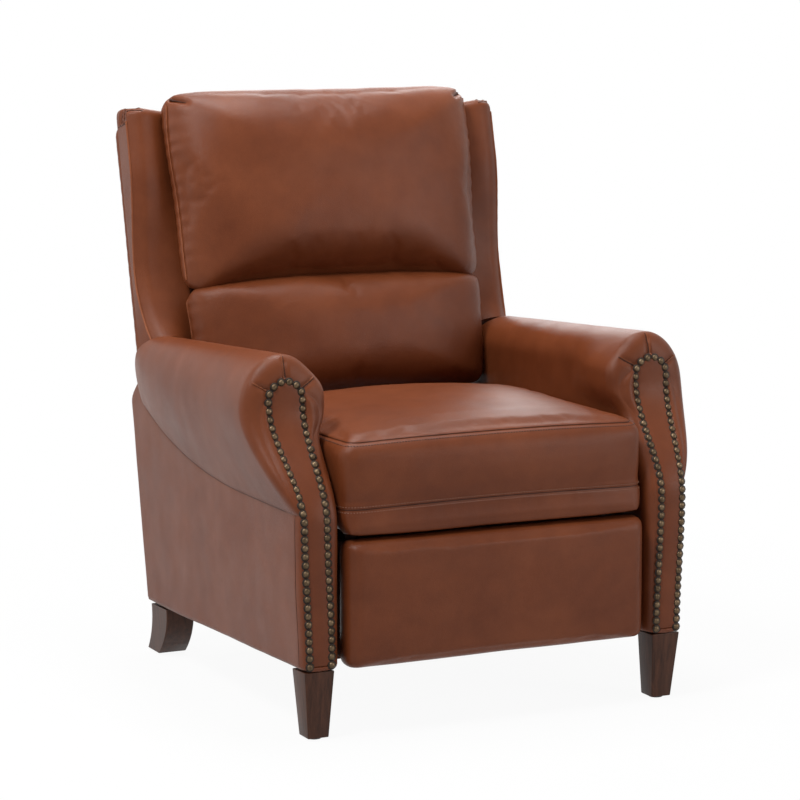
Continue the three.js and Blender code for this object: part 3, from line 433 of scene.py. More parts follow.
def bake_modifiers(piece):
    graph = bpy.context.evaluated_depsgraph_get()
    mesh = bpy.data.meshes.new_from_object(piece.evaluated_get(graph))
    old = piece.data
    piece.modifiers.clear()
    piece.data = mesh
    bpy.data.meshes.remove(old)
    return piece


def add_smoothing(piece, rounds):
    smooth = piece.modifiers.new("ease", "SMOOTH")
    smooth.factor = 0.5
    smooth.iterations = rounds


def add_subdivision(piece):
    finer = piece.modifiers.new("finer", "SUBSURF")
    finer.levels = finer.render_levels = 1


def mirrored(piece, name):
    mesh = piece.data.copy()
    mesh.transform(Matrix.Scale(-1.0, 4, Vector((1.0, 0.0, 0.0))))
    mesh.flip_normals()
    return placed(name, mesh)


def finish_piece(piece, body, replaces=()):
    """Says what a piece moves with and hides the imported parts that it stands for."""
    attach(piece, body)
    if replaces:
        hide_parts(*replaces)


def pair_up(piece, body, replaces=()):
    """Finishes a right-hand piece and its left-hand twin; both names end in their side."""
    twin = mirrored(piece, piece.name.replace("_right", "_left"))
    finish_piece(piece, body, [f"{n}_right" for n in replaces])
    finish_piece(twin, body, [f"{n}_left" for n in replaces])


def coordinates(mesh):
    values = np.empty(len(mesh.vertices) * 3)
    mesh.vertices.foreach_get("co", values)
    return values.reshape(-1, 3)


def normals_of(mesh):
    values = np.empty(len(mesh.vertices) * 3)
    mesh.vertices.foreach_get("normal", values)
    return values.reshape(-1, 3)


def move_points(mesh, places):
    mesh.vertices.foreach_set("co", places.ravel())
    mesh.update()


def ripple(piece, height, scale, seed, stretch=(1.0, 1.0, 1.0)):
    """Moves the surface in and out by a smooth random amount, as hand-pulled leather lies.

    height is millimetres, scale is swells per metre, and stretch draws them out along x, y or z.
    """
    places, normals = coordinates(piece.data), normals_of(piece.data)
    grid = np.array(stretch) * scale
    heights = np.array([noise.noise(Vector(p * grid) + Vector((seed, 0.0, 0.0))) for p in places])
    move_points(piece.data, places + normals * (heights * height * MM)[:, None])


def surface_of(piece):
    mesh = piece.data
    return BVHTree.FromPolygons([v.co for v in mesh.vertices], [tuple(p.vertices) for p in mesh.polygons])


def land(surface, start, direction):
    """Where a ray meets the surface and the normal there, or None."""
    place, normal, _, _ = surface.ray_cast(start, direction.normalized())
    return (place, normal) if place is not None else None


def lands(surface, rays):
    """Where rays (start, direction) meet the surface, each with the normal there, without misses."""
    hits = [land(surface, *ray) for ray in rays]
    return [hit for hit in hits if hit]


def laid_again(surface, hits):
    """A line that was sewn in, on the surface as it now lies."""
    return lands(surface, [(place + normal * 0.02, -normal) for place, normal in hits])


def raised(hits, height):
    """The places of the hits, lifted off the surface by a height, or sunk where it is negative."""
    return [place + normal * height * MM for place, normal in hits]


def places_of(hits):
    return [place for place, _ in hits]


def tube(name, path, radius, material, sides=8, closed=False):
    """A round cord along a path; radius is one size or one for each point."""
    count = len(path)
    sizes = [radius] * count if isinstance(radius, (int, float)) else radius
    points, faces = [], []
    side = None
    for i, place in enumerate(path):
        before = path[i - 1] if closed or i > 0 else path[i]
        after = path[(i + 1) % count] if closed or i < count - 1 else path[i]
        way = (after - before).normalized()
        if side is None:
            side = way.orthogonal().normalized()
        side = (side - way * side.dot(way)).normalized()
        other = way.cross(side)
        for k in range(sides):
            turn = 2.0 * math.pi * k / sides
            points.append(place + (side * math.cos(turn) + other * math.sin(turn)) * sizes[i] * MM)
    steps = count if closed else count - 1
    for i in range(steps):
        for k in range(sides):
            m = (k + 1) % sides
            a, b = i * sides, ((i + 1) % count) * sides
            faces.append((a + k, a + m, b + m, b + k))
    if not closed:
        faces.append(tuple(range(sides)))
        faces.append(tuple((count - 1) * sides + k for k in range(sides)))
    return piece_from(name, points, faces, material, 60.0)


def crease(hits, height, thick, thin=None):
    """A dark cord of painted shade in a fold of the leather; it may taper from its start to its end."""
    sizes = thick if thin is None else [lerp(thick, thin, i / len(hits)) for i in range(len(hits))]
    return tube("crease", raised(hits, height), sizes, painted_shade_leather, 6)


def join_pieces(name, pieces):
    """One piece from several that lie on the same body."""
    work = bmesh.new()
    materials = []
    for part in pieces:
        material = part.data.materials[0]
        if material not in materials:
            materials.append(material)
        first = len(work.faces)
        work.from_mesh(part.data)
        work.faces.ensure_lookup_table()
        for face in work.faces[first:]:
            face.material_index = materials.index(material)
    mesh = bpy.data.meshes.new(name)
    work.to_mesh(mesh)
    work.free()
    for material in materials:
        mesh.materials.append(material)
    for part in pieces:
        bpy.data.objects.remove(part)
    return placed(name, mesh)


# Rows of nails and stitches, made by Geometry Nodes

def row_tree(name, along_path):
    """Repeats one small rounded head at even spacing along a path, facing away from the leather."""
    tree = bpy.data.node_groups.new(name, "GeometryNodeTree")
    sockets = tree.interface
    sockets.new_socket("Path", in_out="INPUT", socket_type="NodeSocketGeometry")
    for label in ("Spacing", "Length", "Width", "Height"):
        sockets.new_socket(label, in_out="INPUT", socket_type="NodeSocketFloat")
    sockets.new_socket("Finish", in_out="INPUT", socket_type="NodeSocketMaterial")
    sockets.new_socket("Row", in_out="OUTPUT", socket_type="NodeSocketGeometry")
    given = tree.nodes.new("NodeGroupInput").outputs
    curve = add_node(tree, "GeometryNodeMeshToCurve", {"Mesh": given["Path"]}, "Curve")
    even = {"Curve": curve, "Length": given["Spacing"]}
    even = add_node(tree, "GeometryNodeResampleCurve", even, "Curve", mode="LENGTH")
    ball = {"Segments": 6 if along_path else 10, "Rings": 4 if along_path else 6, "Radius": 1.0}
    ball = add_node(tree, "GeometryNodeMeshUVSphere", ball, "Mesh")
    size = {"X": given["Length"], "Y": given["Width"], "Z": given["Height"]}
    size = add_node(tree, "ShaderNodeCombineXYZ", size, "Vector")
    head = add_node(tree, "GeometryNodeTransform", {"Geometry": ball, "Scale": size}, "Geometry")
    facing = add_node(
        tree, "GeometryNodeInputNamedAttribute", {"Name": "facing"}, "Attribute", data_type="FLOAT_VECTOR")
    turned = add_node(tree, "FunctionNodeAlignRotationToVector", {"Vector": facing}, "Rotation", axis="Z")
    if along_path:
        steer = {"Rotation": turned, "Vector": add_node(tree, "GeometryNodeInputTangent", {}, "Tangent")}
        turned = add_node(
            tree, "FunctionNodeAlignRotationToVector", steer, "Rotation", axis="X", pivot_axis="Z")
    heads = {"Points": even, "Instance": head, "Rotation": turned}
    row = add_node(tree, "GeometryNodeInstanceOnPoints", heads, "Instances")
    row = add_node(tree, "GeometryNodeRealizeInstances", {"Geometry": row}, "Geometry")
    finish = {"Geometry": row, "Material": given["Finish"]}
    row = add_node(tree, "GeometryNodeSetMaterial", finish, "Geometry")
    tree.links.new(row, tree.nodes.new("NodeGroupOutput").inputs["Row"])
    return tree


stitch_size = (1.7, 0.9, 0.9)
nail_tree = row_tree("nail row", False)
stitch_tree = row_tree("stitch row", True)


def row_of(tree, name, paths, spacing, size, material):
    """Heads along each path; a path is a list of (place, direction that the head faces)."""
    mesh = bpy.data.meshes.new(name)
    places = [place for path in paths for place, _ in path]
    edges, first = [], 0
    for path in paths:
        edges += [(first + i, first + i + 1) for i in range(len(path) - 1)]
        first += len(path)
    mesh.from_pydata([tuple(p) for p in places], edges, [])
    facing = mesh.attributes.new("facing", "FLOAT_VECTOR", "POINT")
    facing.data.foreach_set("vector", [c for path in paths for _, normal in path for c in normal])
    piece = placed(name, mesh)
    modifier = piece.modifiers.new("row", "NODES")
    modifier.node_group = tree
    values = dict(zip(("Spacing", "Length", "Width", "Height"), [v * MM for v in (spacing, *size)]))
    values["Finish"] = material
    for socket in tree.interface.items_tree:
        if socket.item_type == "SOCKET" and socket.in_out == "INPUT" and socket.name in values:
            modifier[socket.identifier] = values[socket.name]
    bake_modifiers(piece)
    piece.data.materials.clear()
    piece.data.materials.append(material)
    piece.data.shade_smooth()
    return piece


def stitches(name, paths, body, spacing, material):
    finish_piece(row_of(stitch_tree, name, paths, spacing, stitch_size, material), body)


# Sewing and filling of cushions

def even_steps(line, step):
    """The same line with a point every step millimetres, and each point's distance along it."""
    points, lengths = [line[0]], [0.0]
    for a, b in zip(line, line[1:]):
        gap = (b - a).length / MM
        count = max(1, int(gap / step))
        for i in range(1, count + 1):
            points.append(a.lerp(b, i / count))
            lengths.append(lengths[-1] + gap / count)
    return points, lengths


def sew(piece, line, depth, width, pucker=0.0, pitch=27.0, reach=20.0, fade=0.0, start_fade=None):
    """Draws the surface in along a seam and gathers small puckers beside it.

    depth and width are the groove's, pucker, pitch and reach the gathers', and fade and start_fade
    are the lengths over which the seam dies out at its end and at its start.
    """
    places, normals = coordinates(piece.data), normals_of(piece.data)
    points, lengths = even_steps(line, 1.5)
    tree = KDTree(len(points))
    for i, place in enumerate(points):
        tree.insert(place, i)
    tree.balance()
    moves = np.zeros(len(places))
    far = (3.0 * reach if pucker else 3.0 * width) * MM
    low, high = np.array(points).min(axis=0) - far, np.array(points).max(axis=0) + far
    near = np.where(np.all((places > low) & (places < high), axis=1))[0]
    for i in near:
        _, index, distance = tree.find(places[i])
        if distance > far:
            continue
        run, d = lengths[index], distance / MM
        groove = math.exp(-((d / width) ** 2))
        ease = smoothstep(lengths[-1] - run, 0.0, fade) if fade else 1.0
        if start_fade:
            ease *= smoothstep(run, 0.0, start_fade)
        gather = 0.0
        if pucker:
            drift = 2.5 * noise.noise(Vector((run / 60.0, 3.0, 0.0)))
            wave = math.sin(2.0 * math.pi * run / pitch + drift)
            strength = 0.6 + 0.8 * noise.noise(Vector((run / 45.0, 9.0, 1.0)))
            gather = wave * strength * math.exp(-d / reach) * (1.0 - groove)
        moves[i] = ease * (pucker * gather - depth * groove)
    move_points(piece.data, places + normals * (moves * MM)[:, None])


def sew_lines(cover, lines, sewing):
    """Sews lines into a cover, and returns its new skin and the lines as they now lie on it."""
    for line in lines:
        sew(cover, places_of(line), **sewing)
    skin = surface_of(cover)
    return skin, [laid_again(skin, line) for line in lines]


def even_skin(piece, voxel, rounds=0):
    """A closed skin of even squares over a plain solid, with its edges eased by smoothing."""
    remesh = piece.modifiers.new("even skin", "REMESH")
    remesh.mode = "VOXEL"
    remesh.voxel_size = voxel * MM
    if rounds:
        add_smoothing(piece, rounds)
    bake_modifiers(piece)
    piece.data.shade_smooth()


def to_box(local, low, high):
    """Stretches rows of places so that they just fill a box."""
    first, last = local.min(axis=0), local.max(axis=0)
    low, high = np.array(low), np.array(high)
    return low + (local - first) * (high - low) / (last - first)


def fullness_of(places, normals, to_local, fullness):
    """How freely each point may swell: one share for each way that the skin can face."""
    local = to_local(places + normals * MM) - to_local(places)
    share = np.zeros(len(places))
    for axis, (backward, forward) in enumerate(fullness):
        part = local[:, axis]
        share += part * part * np.where(part < 0.0, backward, forward)
    return share


cover_cloth = dict(
    quality=4, mass=0.25, tension_stiffness=14.0, compression_stiffness=12.0, shear_stiffness=8.0,
    bending_stiffness=0.8)
cloth_frames = 20
sink_limit = 2.5
skin_slip = 0.3


def fill_with_air(piece, voxel, pressure, cap, fullness, frames, low, high, form=None):
    """Blows the cover up as cloth under pressure, eases it, and stretches it to its full size."""
    to_local, from_local = frames
    even_skin(piece, voxel)
    if form:
        move_points(piece.data, from_local(form(to_box(to_local(coordinates(piece.data)), low, high))))
        even_skin(piece, voxel)
    add_smoothing(piece, 4)
    bake_modifiers(piece)
    cut = coordinates(piece.data)
    outward = normals_of(piece.data)
    cloth = piece.modifiers.new("cover", "CLOTH")
    for label, value in cover_cloth.items():
        setattr(cloth.settings, label, value)
    cloth.settings.use_pressure = True
    cloth.settings.uniform_pressure_force = pressure
    cloth.settings.effector_weights.gravity = 0.0
    cloth.collision_settings.use_collision = False
    cloth.point_cache.frame_start = 1
    cloth.point_cache.frame_end = cloth_frames
    for step in range(1, cloth_frames + 1):
        scene.frame_set(step)
    blown = piece.evaluated_get(bpy.context.evaluated_depsgraph_get())
    moved = coordinates(blown.to_mesh()) - cut
    blown.to_mesh_clear()
    piece.modifiers.clear()
    scene.frame_set(1)
    swell = np.einsum("ij,ij->i", moved, outward)
    along_skin = moved - outward * swell[:, None]
    share = fullness_of(cut, outward, to_local, fullness)
    swell = np.clip(swell, -sink_limit * MM, cap * MM) * share
    along_skin = along_skin * share[:, None]
    move_points(piece.data, cut + outward * swell[:, None] + along_skin * skin_slip)
    add_smoothing(piece, 4)
    add_subdivision(piece)
    bake_modifiers(piece)
    local = to_local(coordinates(piece.data))
    move_points(piece.data, from_local(to_box(local, low, high)))
    piece.data.shade_smooth()


# Arms

def arm_floor(y):
    """Height of the arm's bottom edge, which falls towards the rear."""
    return lerp(arm_floor_front, arm_floor_rear, y / arm_depth)


def arm_front(z):
    """How far the scroll front is set back at a height."""
    return arm_set_back * smoothstep(z, arm_set_back_low, arm_set_back_high)


slit_at_floor = back_ref_y + (back_ref_z - arm_floor_rear) / slit_slope
arm_rear_corner = arm_floor_rear + (slit_at_floor - arm_depth) / (arm_rear_lean + 1.0 / slit_slope)


def arm_rear(z):
    """The rear edge: it leans back, and above its corner it follows the slit along the back."""
    slit = back_ref_y + (back_ref_z - z) / slit_slope
    edge = arm_depth + (z - arm_floor_rear) * arm_rear_lean
    return slit if z > arm_rear_corner else edge


def arm_seam(y):
    """Height of the crease under the roll: level at the front, then an arc up to the rear."""
    reach = clamp((y - arm_seam_flat) / arm_seam_reach, 0.0, 1.0)
    return lerp(arm_seam_high, arm_seam_low, math.sqrt(1.0 - reach * reach))


low_shares = spread(34)
roll_shares = [0.012, 0.03, 0.06] + spread(22, 0.1, 1.0)
top_degrees = spread(17, 6.0, 87.0)
band_shares = [0.12, 0.24, 0.36, 0.48, 0.6, 0.72, 0.84, 0.93, 1.0]


def arm_flare(z, behind):
    """How far the inner face swells over the seat, at a distance behind the arm's front."""
    high = smoothstep(z, *arm_flare_low) * (1.0 - smoothstep(z, *arm_flare_high))
    return arm_flare_reach * high * (1.0 - smoothstep(behind, *arm_flare_fade))


def arm_rows(along, edge, behind):
    """Rows (z, inner x, outer x) of the arm's section: its side, the roll over the seam, the round top.

    along runs from 0 at the front to 1 at the rear, edge is how far the section is drawn in at an
    end, and behind is the distance to the arm's front.
    """
    y = lerp(arm_front(arm_top_front), arm_rear(arm_top_rear), along)
    floor = arm_floor(lerp(0.0, arm_depth, along))
    seam = arm_seam(y)
    top = lerp(arm_top_front, arm_top_rear, along)
    widest = lerp(seam, top, arm_widest_share)
    overhang = arm_roll_overhang * lerp(1.0, arm_rear_share, along * along)
    overhang += arm_front_swell * (1.0 - smoothstep(behind, *arm_swell_fade))
    side_swell = arm_side_swell * (1.0 - along ** 2)
    seam_x = arm_side + side_swell
    roll_x = arm_inner + arm_roll_radius

    def inner_at(z):
        rise = clamp((z - top + arm_roll_radius) / arm_roll_radius, 0.0, 1.0)
        return roll_x - arm_roll_radius * math.sqrt(1.0 - rise * rise) - arm_flare(z, behind)

    rows = []
    for share in low_shares:
        z = lerp(floor, seam, share)
        swell = side_swell * smoothstep(share, 0.0, arm_side_swell_share)
        rows.append((z, inner_at(z), arm_side + swell))
    for share in roll_shares:
        z = lerp(seam, widest, share)
        swell = 1.0 - (1.0 - share) ** arm_swell_power
        tuck = arm_seam_tuck * math.exp(-((share - roll_shares[0]) * 60.0) ** 2)
        rows.append((z, inner_at(z), seam_x + overhang * swell - tuck))
    half_outer = seam_x + overhang - roll_x
    for degrees in top_degrees:
        turn = math.radians(degrees)
        z = lerp(widest, top, math.sin(turn))
        rows.append((z, inner_at(z), roll_x + half_outer * math.cos(turn)))
    shaped = []
    for z, inner, outer in rows:
        high = smoothstep(z, arm_set_back_low, arm_set_back_high)
        outer_edge = edge * lerp(arm_edge_outer_low, arm_edge_outer_high, high)
        lowered = z - edge * arm_edge_top_drop * smoothstep(z, widest - arm_roll_radius, top)
        slim = (outer - inner) / 2.0 - arm_edge_inner * 0.2
        shaped.append((lowered, inner + min(edge * arm_edge_inner, slim), outer - min(outer_edge, slim)))
    return shaped


def arm_ring(along, edge, behind, place_y):
    """One closed ring of the arm; place_y gives each height's place from front to rear."""
    rows = arm_rows(along, edge, behind)
    inner = [at(x, place_y(z), z) for z, x, _ in rows]
    outer = [at(x, place_y(z), z) for z, _, x in rows]
    return inner + outer[::-1]


def arm_between(along):
    """Each height's place from front to rear at a share of the arm's length."""
    return lambda z: lerp(arm_front(z) + arm_edge_depth, arm_rear(z), along)


head_radius = (scroll_outer_high - scroll_inner_high) / 2.0
head_x = (scroll_outer_high + scroll_inner_high) / 2.0
head_z = scroll_top - head_radius


def scroll_row(z, grow=0.0):
    """Inner and outer x of the nail line at a height, with a round head at the top."""
    level = min(z, head_z)
    low = smoothstep(level, scroll_bottom, arm_set_back_low)
    high = smoothstep(level, arm_set_back_low, arm_set_back_high)
    outer = lerp(lerp(scroll_outer_low, scroll_outer_mid, low), scroll_outer_high, high)
    inner = lerp(scroll_inner_low, scroll_inner_high, max(low, high))
    centre, half = (inner + outer) / 2.0, (outer - inner) / 2.0
    if z > head_z:
        rise = clamp((z - head_z) / (head_radius + grow), 0.0, 1.0)
        half = (head_radius + grow) * math.sqrt(1.0 - rise * rise) - grow
    return centre - half - grow, centre + half + grow


def nail_line_near(x, z, side):
    """The place on the nail line that a place on the arm's front edge looks towards."""
    if z > head_z:
        reach = math.hypot(x - head_x, z - head_z)
        pull = head_radius / reach
        return head_x + (x - head_x) * pull, head_z + (z - head_z) * pull
    foot_top = scroll_bottom + scroll_foot
    if z < foot_top:
        z = lerp(scroll_bottom, foot_top, (z - arm_floor_front) / (foot_top - arm_floor_front))
    return scroll_row(z)[side], z


def band_rings():
    """Rings from the nails out to the front edge, over the padded band that the nails draw in."""
    edge_rows = arm_rows(0.0, 1.0, 0.0)
    rings = []
    for share in band_shares[::-1]:
        sides = []
        for side in (0, 1):
            points = []
            for row in edge_rows:
                z0, x0 = row[0], row[1 + side]
                x1, z1 = nail_line_near(x0, z0, side)
                band = math.hypot(x1 - x0, z1 - z0)
                bulge = clamp(band_fullness * band, *band_rise) * math.sin(math.pi * share ** 1.15)
                bulge -= band_draw * share ** 6
                x, z = lerp(x0, x1, share), lerp(z0, z1, share)
                points.append(at(x, arm_front(z) - bulge, z))
            sides.append(points)
        rings.append(sides[0] + sides[1][::-1])
    return rings


def make_arm():
    """The front band, the rounded front edge, the length of the arm and its rear edge, in rings."""
    rings = band_rings()
    for degrees in spread(12, 0.0, 81.0):
        turn = math.radians(degrees)
        depth = arm_edge_depth * (1.0 - math.cos(turn))
        edge = 1.0 - math.sin(turn)
        rings.append(arm_ring(0.0, edge, depth, lambda z, depth=depth: arm_front(z) + depth))
    for along in spread(64, 0.0, 0.985):
        rings.append(arm_ring(along, 0.0, arm_edge_depth + along * arm_behind_span, arm_between(along)))
    for degrees in spread(4, 0.0, 90.0):
        turn = math.radians(degrees)
        edge = (1.0 - math.cos(turn)) * arm_rear_edge / arm_edge_depth
        short = arm_rear_edge * (1.0 - math.sin(turn))
        rings.append(arm_ring(1.0, edge, arm_behind_span, lambda z, short=short: arm_rear(z) - short))
    arm = loft("arm_cover_right", rings, leather, 40.0)
    add_subdivision(arm)
    bake_modifiers(arm)
    arm.data.shade_smooth()
    ripple(arm, 1.4, 5.0, 4.0, (1.0, 1.0, 0.7))
    ripple(arm, 0.4, 21.0, 11.0, (1.0, 1.2, 0.8))
    return arm


def front_pleat(skin, degrees, reach):
    """A line on the arm's front from the nails outwards, at an angle round the scroll's head."""
    turn = math.radians(degrees)
    way = Vector((math.cos(turn), 0.0, math.sin(turn)))
    centre = at(head_x, 0.0, head_z)
    distances = spread(16, head_radius + 4.0, head_radius + reach)
    places = [centre + way * distance * MM for distance in distances]
    return lands(skin, [(Vector((place.x, front_plane - 0.05, place.z)), rearward) for place in places])


arm_cover = make_arm()
arm_skin = surface_of(arm_cover)
pleats = [front_pleat(arm_skin, *pleat) for pleat in pleat_lines]
arm_skin, pleats = sew_lines(arm_cover, pleats, pleat_sewing)
pair_up(arm_cover, "base", ["arm_upholstery"])


def scroll_heights(grow=0.0):
    """Heights up the scroll, with even steps up its sides and round its head."""
    straight = spread(46, scroll_bottom, head_z)
    rises = [math.sin(math.radians(degrees)) for degrees in spread(12, 7.0, 88.0)]
    return straight + [head_z + (head_radius + grow) * rise for rise in rises]


def front_normal(z):
    """The way that the arm's front faces at a height."""
    slope = (arm_front(z + 1.0) - arm_front(z - 1.0)) / 2.0
    return Vector((0.0, -1.0, slope)).normalized()


def make_scroll_panel():
    """The leather inside the nails, lightly padded."""
    shrink, edge_rise, padding, sunk, end_rows = -1.5, 1.6, 2.6, 2.0, 4.0
    columns = spread(13, -1.0, 1.0)
    rows = [(z, *scroll_row(z, shrink)) for z in scroll_heights(shrink)]
    front, rear = [], []
    for r, (z, x0, x1) in enumerate(rows):
        end = min(1.0, min(r, len(rows) - 1 - r) / end_rows)
        normal = front_normal(z)
        for u in columns:
            rise = edge_rise + padding * (1.0 - u ** 2) ** 0.7 * end ** 0.5
            place = at(lerp(x0, x1, (u + 1.0) / 2.0), arm_front(z), z)
            front.append(place + normal * rise * MM)
            rear.append(place - normal * sunk * MM)
    n, count = len(columns), len(front)
    faces = []
    for r in range(len(rows) - 1):
        for c in range(n - 1):
            a, b, d, e = r * n + c, r * n + c + 1, (r + 1) * n + c + 1, (r + 1) * n + c
            faces.append((a, b, d, e))
            faces.append((count + e, count + d, count + b, count + a))
    rim = [r * n for r in range(len(rows))] + [(len(rows) - 1) * n + c for c in range(1, n)]
    rim += [r * n + n - 1 for r in range(len(rows) - 2, -1, -1)] + list(range(n - 2, 0, -1))
    for a, b in zip(rim, rim[1:] + rim[:1]):
        faces.append((a, b, count + b, count + a))
    return piece_from("scroll_front_right", front + rear, faces, leather, 40.0)


pair_up(make_scroll_panel(), "base", ["arm_scroll_front"])


def nail_path(side, lift):
    """The line of the nails, up the inner side, round the head and down the outer side."""
    inner, outer = [], []
    for z in scroll_heights():
        x0, x1 = scroll_row(z)
        normal = front_normal(z)
        inner.append((at(x0, arm_front(z), z) + normal * lift * MM, normal))
        outer.append((at(x1, arm_front(z), z) + normal * lift * MM, normal))
    path = inner + outer[::-1]
    return [(Vector((side * place.x, place.y, place.z)), normal) for place, normal in path]


head_size = (nail_radius, nail_radius, nail_height)
rim_size = (nail_rim_radius, nail_rim_radius, nail_rim_height)
for word, side in (("left", -1.0), ("right", 1.0)):
    heads, rims = [nail_path(side, nail_lift)], [nail_path(side, nail_rim_lift)]
    row = row_of(nail_tree, f"nail_heads_{word}", heads, nail_spacing, head_size, aged_brass)
    finish_piece(row, "base", [f"nail_strip_{word}"])
    # Dark discs under the heads: painted shadow rings round the nails
    row = row_of(nail_tree, f"nail_rims_{word}", rims, nail_spacing, rim_size, painted_shadow_brass)
    finish_piece(row, "base")


def arm_seams():
    """Dark cords of painted shade in the creases under the roll and down the front corner and in the pleats
    round the scroll, each pleat with a lighter lip of painted highlight.
    """
    beside = arm_side + 86.0
    rays = []
    for along in spread(70, *roll_seam_shares):
        y = lerp(arm_front(arm_top_front), arm_rear(arm_top_rear), along)
        z = arm_seam(y) + 2.0
        rays.append((at(beside, arm_between(along)(z), z), leftward))
    parts = [crease(lands(arm_skin, rays), -0.4, 0.9)]
    heights = spread(40, arm_seam_low + 1.0, arm_floor_front + 1.5)
    rays = [(at(beside, arm_corner_seam_y, z), leftward) for z in heights]
    parts.append(crease(lands(arm_skin, rays), -0.3, 0.8))
    for pleat in pleats:
        parts.append(crease(pleat, -0.1, 2.0, 0.7))
        # Each pleat's lip is a lighter cord: a painted highlight on the lap of the fold
        lip = [place + pleat_lip_shift * MM for place in raised(pleat, -0.1)]
        parts.append(tube("pleat_lip", lip, 1.1, painted_highlight_leather, 6))
    return join_pieces("arm_seams_right", parts)


pair_up(arm_seams(), "base")


# Legs and wrapped rails

leg_ease = 1.8
wrap_ease = 2.5


def eased_copy(node, name, material, ease, body):
    """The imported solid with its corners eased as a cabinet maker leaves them."""
    piece = copy_of(node, name, material)
    work = bmesh.new()
    work.from_mesh(piece.data)
    bmesh.ops.dissolve_limit(work, angle_limit=math.radians(4.0), verts=work.verts, edges=work.edges)
    work.to_mesh(piece.data)
    work.free()
    bevel = piece.modifiers.new("ease", "BEVEL")
    bevel.width = ease * MM
    bevel.segments = 3
    bevel.limit_method = "ANGLE"
    bevel.angle_limit = math.radians(30.0)
    bake_modifiers(piece)
    piece.data.shade_smooth()
    piece.data.set_sharp_from_angle(angle=math.radians(35.0))
    finish_piece(piece, body, [node])


def make_rear_leg():
    """A square sabre leg, swept back towards the floor."""
    rings = []
    top_front, top_rear, foot_front, foot_rear = 640.0, 719.0, 700.0, 758.0
    foot_outer, top_outer, width = 352.0, 359.0, 54.0
    glide_top, under_arm, bevel = 3.3, 0.3, 1.8
    for rise in spread(25):
        sweep = (1.0 - rise) ** 2
        front, rear = lerp(top_front, foot_front, sweep), lerp(top_rear, foot_rear, sweep)
        outer = lerp(foot_outer, top_outer, rise)
        inner = outer - width
        ring = [(inner, front + bevel), (inner + bevel, front)]
        ring += [(outer - bevel, front), (outer, front + bevel)]
        ring += [(outer, rear - bevel), (outer - bevel, rear)]
        ring += [(inner + bevel, rear), (inner, rear - bevel)]
        rings.append([at(x, y, lerp(glide_top, arm_floor(y) - under_arm, rise)) for x, y in ring])
    return loft("rear_leg_shaped_right", rings, leg_wood, 35.0)


for word in ("left", "right"):
    eased_copy(f"front_leg_{word}", f"front_leg_turned_{word}", leg_wood, leg_ease, "base")
pair_up(make_rear_leg(), "base", ["rear_leg"])


# Back

def wing_depth(share):
    """How far forward the wing's outer edge stands, from the foot to the top."""
    if share < wing_waist_share:
        return lerp(wing_waist, wing_front_low, (1.0 - share / wing_waist_share) ** 2)
    return lerp(wing_waist, wing_front_high, smoothstep(share, wing_waist_share, wing_shoulder_share))


def wing_tuck(share):
    """How far the outer edge is drawn in towards the foot."""
    return wing_foot_tuck * clamp(1.0 - share / wing_waist_share, 0.0, 1.0) ** 2


def wing_face(x, inner, outer, depth):
    """The front of the wing: a soft roll behind its welt that falls away towards the pillow."""
    q = clamp((outer - x) / (outer - inner), 0.0, 1.0)
    if q < wing_crest:
        return depth + wing_welt_rise - wing_roll * (1.0 - math.sin(math.pi / 2.0 * q / wing_crest))
    low = min(wing_inner_depth, depth + wing_trough_rise)
    fall = math.cos(math.pi / 2.0 * (q - wing_crest) / (1.0 - wing_crest)) ** wing_fall_power
    return low + (depth + wing_welt_rise - low) * fall


def wing_foot(level):
    """How far up the back the wing begins, just clear of the slanted cut behind the arm."""
    slant = (lean_cosine - lean_sine / slit_slope) / (lean_sine + lean_cosine / slit_slope)
    return slit_clearance + level * slant


def make_wing():
    """Rings from the foot to the top, closer together near the top, where the wing closes roundly."""
    rings = []
    for share in spread(110):
        share = 1.0 - (1.0 - share) ** wing_ring_gather
        cap = clamp((share - wing_cap_share) / (1.0 - wing_cap_share), 0.0, 1.0)
        drop = 1.0 - math.sqrt(max(0.0, 1.0 - cap ** wing_cap_power))
        outer = back_half - wing_cap_side * drop
        edge = outer - wing_tuck(share)
        inner = wing_inner + wing_cap_side * drop
        front = wing_depth(share) - wing_cap_front * drop
        rear = outside_thickness + 0.3 + wing_cap_rear * drop
        welt = wing_face(edge, inner, edge, front)
        ring = [(inner, lerp(rear, wing_face(inner, inner, edge, front), t)) for t in (0.0, 0.34, 0.67)]
        for t in spread(34):
            x = lerp(inner, edge, t)
            ring.append((x, wing_face(x, inner, edge, front)))
        ring += [(lerp(edge, outer, t), lerp(welt, rear, t)) for t in spread(12)[1:]]
        top_fall = smoothstep(share, wing_top_fall_share, 1.0)
        points = []
        for x, level in ring:
            tilt = top_fall * lerp(*wing_top_tilt, (x - wing_inner) / (back_half - wing_inner))
            points.append(on_back(x, level, lerp(wing_foot(level), wing_top, share) + tilt))
        rings.append(points)
    wing = loft("wing_cover_right", rings, leather, 55.0, ladder_ends=False)
    ripple(wing, 1.4, 9.0, 21.0, (1.0, 1.0, 0.4))
    return wing


def corner_fold(skin, forward, low, reach):
    """A line that fans over the wing's top outer corner, from the side panel to the face."""
    middle_x, middle_along, away = back_half - 30.0, wing_top - 32.0, 90.0
    high, side_depth, top_depth, inward = 88.0, 46.0, 70.0, 0.9
    rays = []
    for share in spread(18):
        turn = math.radians(lerp(low, high, share))
        depth = lerp(side_depth, top_depth, share) + forward
        aim = on_back(middle_x, depth * inward, middle_along)
        start_x, start_along = middle_x + away * math.cos(turn), middle_along + away * math.sin(turn)
        start = on_back(start_x, depth + reach * share, start_along)
        rays.append((start, aim - start))
    return lands(skin, rays)


